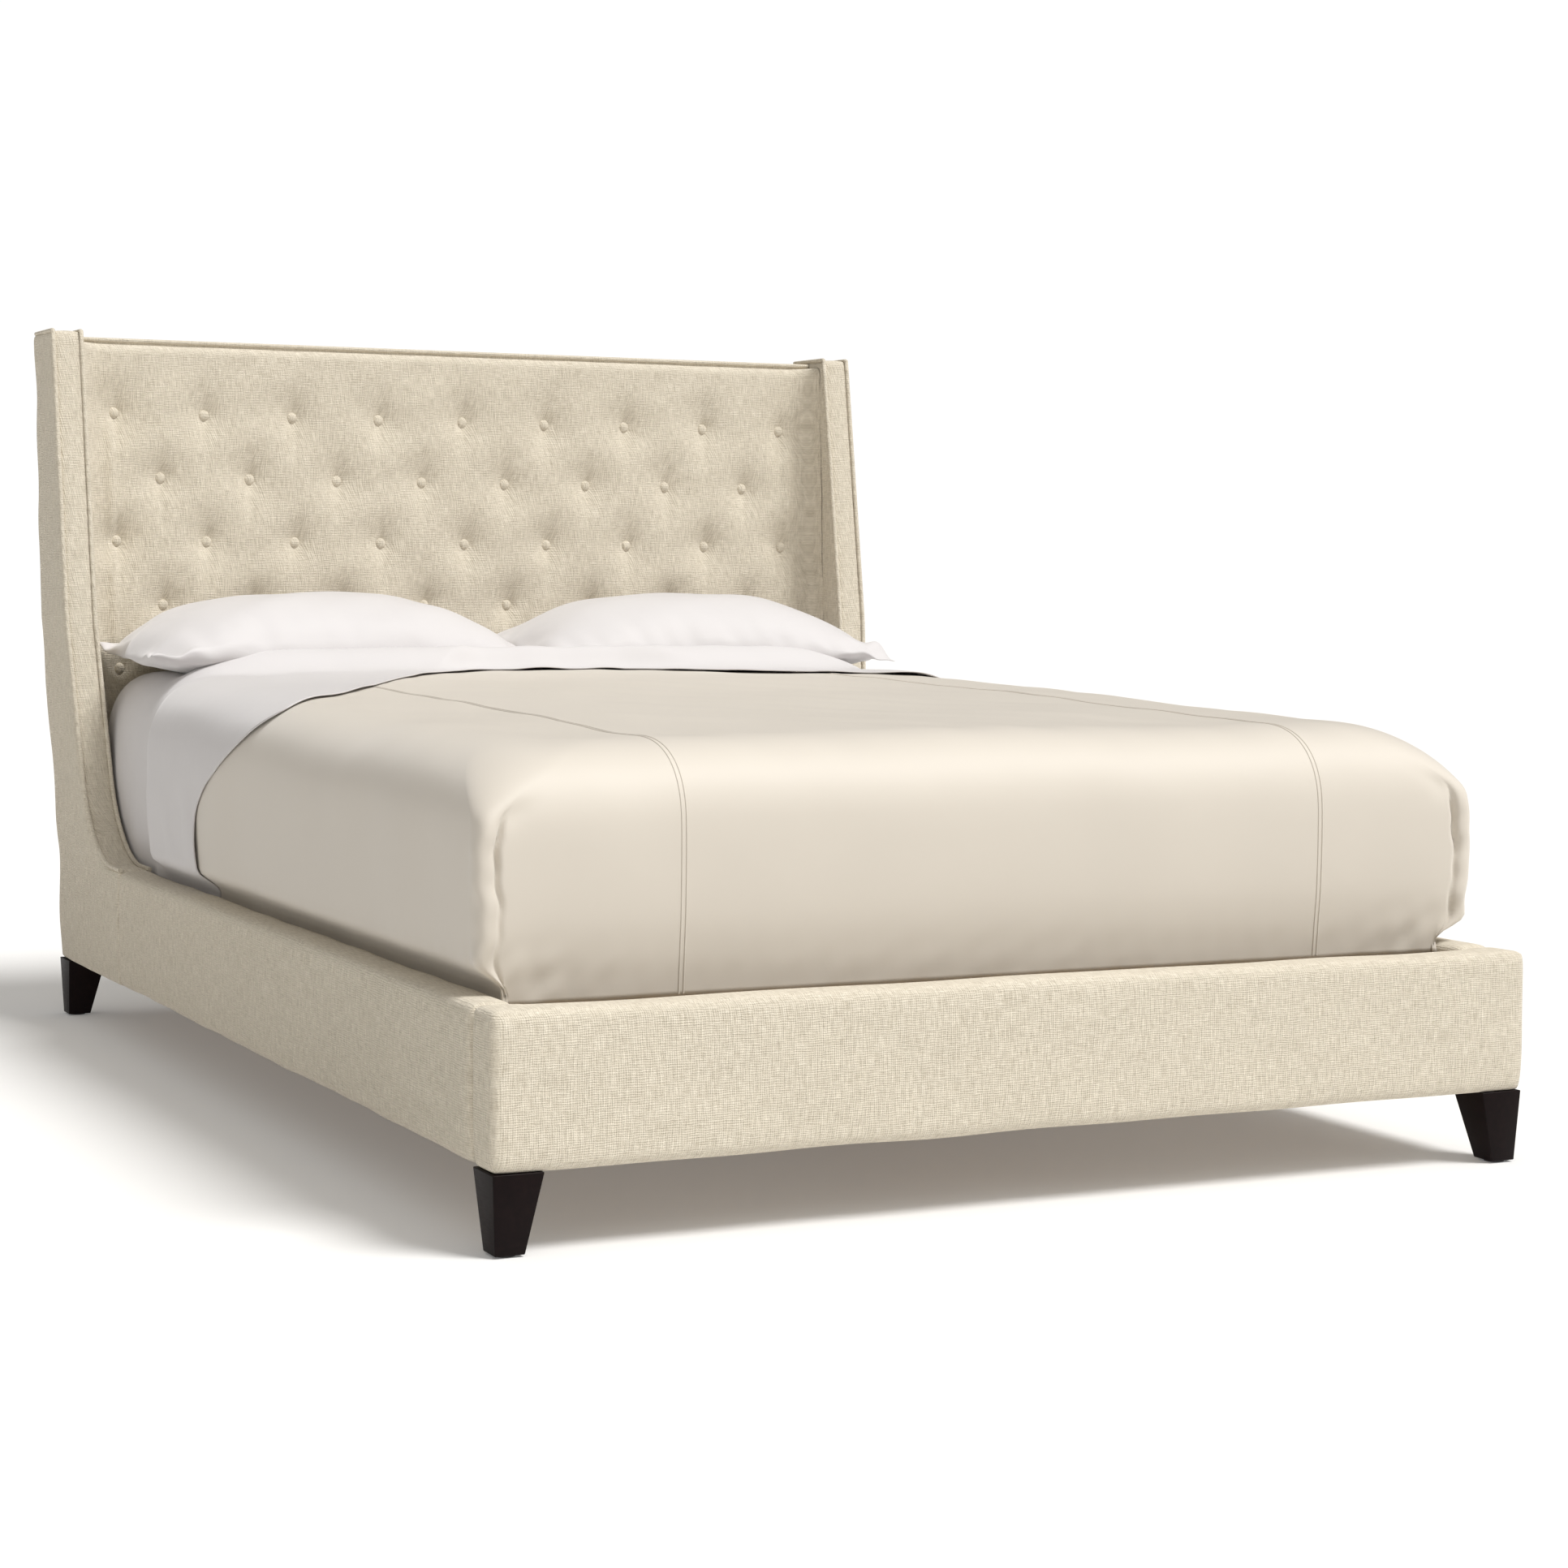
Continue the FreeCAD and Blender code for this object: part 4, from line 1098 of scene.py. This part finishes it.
def hoop():  # cross-section over the mattress from one side to the other
    half = cover["half"]
    insets = [share for share in np.linspace(1, 0, 34)]
    flat = [(-(half - cover["sideRoll"]) * t, None) for t in np.linspace(0, 1, 56)[:-1]]
    turn = [(-(half - cover["sideRoll"] * share**1.5), None) for share in insets]
    low = cover["top"] - cover["drop"]
    side = [(-half, low - (low - cover["bottom"]) * t) for t in np.linspace(0, 1, 26)[1:]]
    left = (flat + turn + side)[::-1]
    return left + [(-x, z) for x, z in left[-2::-1]]


def makeFlatSheet():
    section = hoop()
    x = np.array([p[0] for p in section])
    level = cover["top"] - rollDrop(cover["half"] - np.abs(x), cover["sideRoll"])
    z0 = np.array([level[i] if p[1] is None else p[1] for i, p in enumerate(section)])
    along = np.concatenate([[0], np.cumsum(np.hypot(np.diff(x), np.diff(z0)))])
    away = along - along[-1] / 2
    distance = np.abs(away)
    startY = sheetEdge(away)
    upper = smoothStep(cover["bottom"], cover["top"] - cover["drop"], z0)
    slope = np.gradient(z0, along)
    outX = np.sign(x) * np.clip(np.abs(slope), 0, 1)
    outZ = np.sqrt(np.clip(1 - slope**2, 0, 1))
    topness = 1 - smoothStep(0.56, 0.80, distance)
    rows = 130
    grid = np.zeros((rows, len(section), 3))
    for row, t in enumerate(np.linspace(0, 1, rows)):
        y = startY + (turnDown["end"] - startY) * t
        level = (topHeight(x, y) - cover["top"]) * upper
        crest = np.exp(-np.abs((y - turnDown["crest"]) / 0.042) ** 2.2) * smoothStep(startY, startY + 0.05, y)
        behind = smoothStep(turnDown["crest"], turnDown["crest"] + 0.08, y)
        z = z0 + level + (turnDown["crestRise"] * crest - 0.012 * behind) * topness
        fallen = np.clip((cover["top"] - z0) / (cover["top"] - cover["bottom"]), 0, 1)
        bulge = 0.006 * np.sin(math.pi * fallen)
        bulge = bulge * smoothStep(0.03, 0.14, cover["top"] - z0)
        low = smoothStep(0.24, 0.34, cover["top"] - z0)
        lift = turnDown["lift"] + bulge - 0.003 * low
        grid[row] = np.column_stack([x + outX * lift, y, z + outZ * turnDown["lift"]])
    points = grid.reshape(-1, 3)
    wobble = ripple(points * np.array([1, 0.5, 1]), 0.19, 53)
    points[:, 2] += 0.0018 * np.maximum(wobble, -0.4) * smoothStep(0.55, 0.62, points[:, 2])
    slack = 1 - smoothStep(0.5, 0.6, points[:, 2])
    points[:, 0] += np.sign(points[:, 0]) * 0.0016 * np.maximum(ripple(points, 0.13, 57), -0.6) * slack
    piece = gridMesh("flatSheet", betweenWings(points).reshape(grid.shape))
    faceUp(piece.data)
    thick = piece.modifiers.new("thick", "SOLIDIFY")
    thick.thickness = 0.002
    thick.offset = 1
    return smoothShade(bakeDown(piece))


flatSheet = makeFlatSheet()
settle(flatSheet, "bed", "white_cotton", "flat_sheet")


def softBox(name, low, high, bevel, voxel, puff, seed):
    outline = [(low.x, low.y), (high.x, low.y), (high.x, high.y), (low.x, high.y)]
    piece = soften(prism(name, outline, low.z, high.z, upright), bevel, voxel)
    points = readPoints(piece.data)
    normals = readPoints(piece.data, "normals")
    points = points + normals * (puff * ripple(points, 0.2, seed))[:, None]
    points[:, 2] = np.minimum(points[:, 2], bedTop(points[:, 0], points[:, 1]) - 0.017)
    writePoints(piece.data, points)
    return piece


inset = Vector((0.012, 0.012, 0.008))
mattress = softBox("tickedMattress", mattressBox[0] + inset, mattressBox[1] - inset, 0.03, 0.016, 0.002, 61)
settle(mattress, "bed", "ticking", "mattress")
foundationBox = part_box("foundation_cover")
foundation = softBox("upholsteredFoundation", foundationBox[0], foundationBox[1], 0.008, 0.014, 0.0006, 67)
settle(foundation, "bed", "ticking", "foundation_cover", "foundation_frame")

taut = inset * 0.6
fitted = softBox("fittedSheet", mattressBox[0] + taut, mattressBox[1] - taut, 0.032, 0.016, 0.0015, 61)
with editing(fitted.data) as work:
    below = [face for face in work.faces if face.calc_center_median().z < mattressBox[0].z + 0.02]
    bmesh.ops.delete(work, geom=below, context="FACES")
settle(fitted, "bed", "white_cotton", "fitted_sheet")
print("bedding made")

pillowLook = {
    "width": 0.80,
    "depth": 0.42,
    "cell": 0.010,
    "thick": 0.165,
    "forward": 0.057,  # its place against the CAD case
    "raised": 0.056,
    "freeHalf": 0.68,  # past this the wings hold its back corner in
    "squeeze": 0.3,
    "wingFrom": 0.85,
    "wingTo": 0.93,
}


def makePillow(side, seed, yaw, slump, width):
    low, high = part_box(f"pillow_case_{side}")
    columns = int(pillowLook["width"] / pillowLook["cell"])
    rows = int(pillowLook["depth"] / pillowLook["cell"])
    u, v = np.meshgrid(np.linspace(-1, 1, columns + 1), np.linspace(-1, 1, rows + 1))
    lens = (1 - np.abs(u) ** 2.6) * (1 - np.abs(v) ** 2.6)
    pinch = 1 - 0.045 * (1 - v**2)
    draw = 1 - 0.07 * (1 - u**2)
    x = u * pillowLook["width"] / 2 * pinch
    y = v * pillowLook["depth"] / 2 * draw
    height = 0.5 * pillowLook["thick"] * np.maximum(lens, 0) ** 0.62
    index = np.arange(u.size).reshape(u.shape)
    border = np.zeros(u.shape, bool)
    border[0, :] = border[-1, :] = border[:, 0] = border[:, -1] = True
    lower = np.where(border, index, index + u.size)
    top = np.column_stack([x.ravel(), y.ravel(), height.ravel()])
    under = np.column_stack([x.ravel(), y.ravel(), -height.ravel()])
    faces = []
    for layer in (index, lower):
        quads = np.stack([layer[:-1, :-1], layer[:-1, 1:], layer[1:, 1:], layer[1:, :-1]], axis=-1)
        faces += quads.reshape(-1, 4).tolist()
    mesh = bpy.data.meshes.new(f"pillow{side}")
    mesh.from_pydata(np.vstack([top, under]).tolist(), [], faces)
    mesh.validate()
    piece = addObject(f"pillow{side.capitalize()}", mesh)
    with editing(mesh) as work:
        loose = [vert for vert in work.verts if not vert.link_faces]
        bmesh.ops.delete(work, geom=loose, context="VERTS")
        bmesh.ops.recalc_face_normals(work, faces=work.faces)
    points = readPoints(mesh)
    points[:, 2] *= 0.72
    rim = np.exp(-((np.abs(points[:, 2]) / 0.02) ** 2))
    points[:, 2] += 0.004 * ripple(points, 0.09, seed) * rim
    writePoints(mesh, points)
    plump(piece, 4.0, 0.009, frames=16, stiffness=9, bending=0.2)
    points = readPoints(piece.data)
    points[:, 0] *= width / np.ptp(points[:, 0])
    points[:, 1] *= pillowLook["depth"] / np.ptp(points[:, 1])
    points[:, 2] *= pillowLook["thick"] / max(np.ptp(points[:, 2]), 1e-6)
    points[:, 2] *= np.where(points[:, 2] > 0, 1.45, 0.55)  # it lies on its flatter side
    turn = Matrix.Rotation(yaw, 3, "Z") @ Matrix.Rotation(slump, 3, "X")
    points = points @ np.array(turn).T
    middle = (low + high) / 2
    fromFront = points[:, 1] + pillowLook["depth"] / 2
    fromEnd = pillowLook["width"] / 2 - np.abs(points[:, 0])
    near = np.exp(-((np.minimum(fromFront, fromEnd) / 0.06) ** 2))
    pleats = ripple(points @ np.array([[1, 0, 0], [0.35, 0.1, 0], [0, 0, 0.3]]), 0.055, seed + 3)
    folds = ripple(points @ np.array([[0.8, 0.2, 0], [-0.8, 0.3, 0], [0, 0, 0.2]]), 0.16, seed + 5)
    points[:, 2] += 0.0034 * pleats * near + 0.0026 * folds
    points += np.array([middle.x, middle.y + pillowLook["forward"], low.z + pillowLook["raised"]])
    floor = low.z + 0.006
    points[:, 2] = np.where(points[:, 2] < floor, floor + (points[:, 2] - floor) * 0.08, points[:, 2])
    points[:, 1] = np.minimum(points[:, 1], high.y + 0.012)
    past = np.maximum(np.abs(points[:, 0]) - pillowLook["freeHalf"], 0)
    held = smoothStep(pillowLook["wingFrom"], pillowLook["wingTo"], points[:, 1])
    points[:, 0] -= np.sign(points[:, 0]) * pillowLook["squeeze"] * past * held
    writePoints(piece.data, points)
    piece = subdivide(piece)
    nodes = (f"pillow_case_{side}", f"pillow_{side}")
    settle(piece, f"pillow_{side}", "white_cotton", *nodes)
    return piece


makePillow("left", 71, math.radians(4.5), math.radians(1.5), 0.815)
makePillow("right", 79, math.radians(-0.5), math.radians(2), 0.79)
print("pillows made")


def sheetArea(piece, sides=2):
    return sum(face.area for face in piece.data.polygons) / sides


print("areas", sheetArea(coverlet), sheetArea(flatSheet), sheetArea(fitted, 1))

floorMesh = bpy.data.meshes.new("studioFloor")
reach = 40.0  # half the floor's side
floorMesh.from_pydata(
    [(-reach, -reach, 0), (reach, -reach, 0), (reach, reach, 0), (-reach, reach, 0)], [], [(0, 1, 2, 3)]
)
studioFloor = addObject("studioFloor", floorMesh)
floorMaterial, _, floorSurface = startFinish("paleFloor", 0.9)
floorSurface.inputs["Base Color"].default_value = (0.75, 0.742, 0.727, 1)
floorSurface.inputs["Emission Color"].default_value = (1, 1, 1, 1)
floorSurface.inputs["Emission Strength"].default_value = 0.12
floorMesh.materials.append(floorMaterial)
studioFloor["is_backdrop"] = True

world = bpy.data.worlds.new("studio")
bpy.context.scene.world = world
world.use_nodes = True
sky = Wire(world.node_tree)
seen = sky.node("ShaderNodeLightPath", output=0)
background = world.node_tree.nodes["Background"]
warm = blendColours(sky, seen, (1.0, 0.975, 0.94, 1), (1.0, 1.0, 1.0, 1))
warm.feed(background, "Color")
strength = seen * 0.86 + 0.17
strength.feed(background, "Strength")


def addSun(name, towards, strength, softness, tint=(1, 1, 1)):
    data = bpy.data.lights.new(name, "SUN")
    data.energy = strength
    data.color = tint
    data.angle = math.radians(softness)
    lamp = bpy.data.objects.new(name, data)
    lamp.rotation_euler = Vector(towards).to_track_quat("Z", "Y").to_euler()
    bpy.context.scene.collection.objects.link(lamp)


addSun("keyLight", (0.36, -0.40, 0.88), 3.1, 22)
addSun("softLight", (-0.02, -0.35, 0.90), 1.05, 120, (1.0, 0.975, 0.94))

cameraLook = {
    "sensor": 36,
    "lens": 70.921,
    "shift": (0.04258, 0.01846),
    "place": (-2.2508, -4.8323, 0.9053),
    "yaw": 0.4449,
    "pitch": 0.0837,
    "roll": 0.0088,
}
cameraData = bpy.data.cameras.new("camera")
cameraData.sensor_width = cameraLook["sensor"]
cameraData.lens = cameraLook["lens"]
cameraData.shift_x, cameraData.shift_y = cameraLook["shift"]
camera = bpy.data.objects.new("camera", cameraData)
yaw, pitch, roll = cameraLook["yaw"], cameraLook["pitch"], cameraLook["roll"]
forward = Vector((math.sin(yaw) * math.cos(pitch), math.cos(yaw) * math.cos(pitch), -math.sin(pitch)))
level = Vector((math.cos(yaw), -math.sin(yaw), 0))
up = level.cross(forward)
right = math.cos(roll) * level + math.sin(roll) * up
above = -math.sin(roll) * level + math.cos(roll) * up
turn = Matrix((right, above, -forward)).transposed()
camera.matrix_world = Matrix.Translation(cameraLook["place"]) @ turn.to_4x4()
bpy.context.scene.collection.objects.link(camera)
bpy.context.scene.camera = camera
bpy.context.scene.view_settings.view_transform = "Standard"

[[list(corner) for corner in box] for box in (cadBox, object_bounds())]
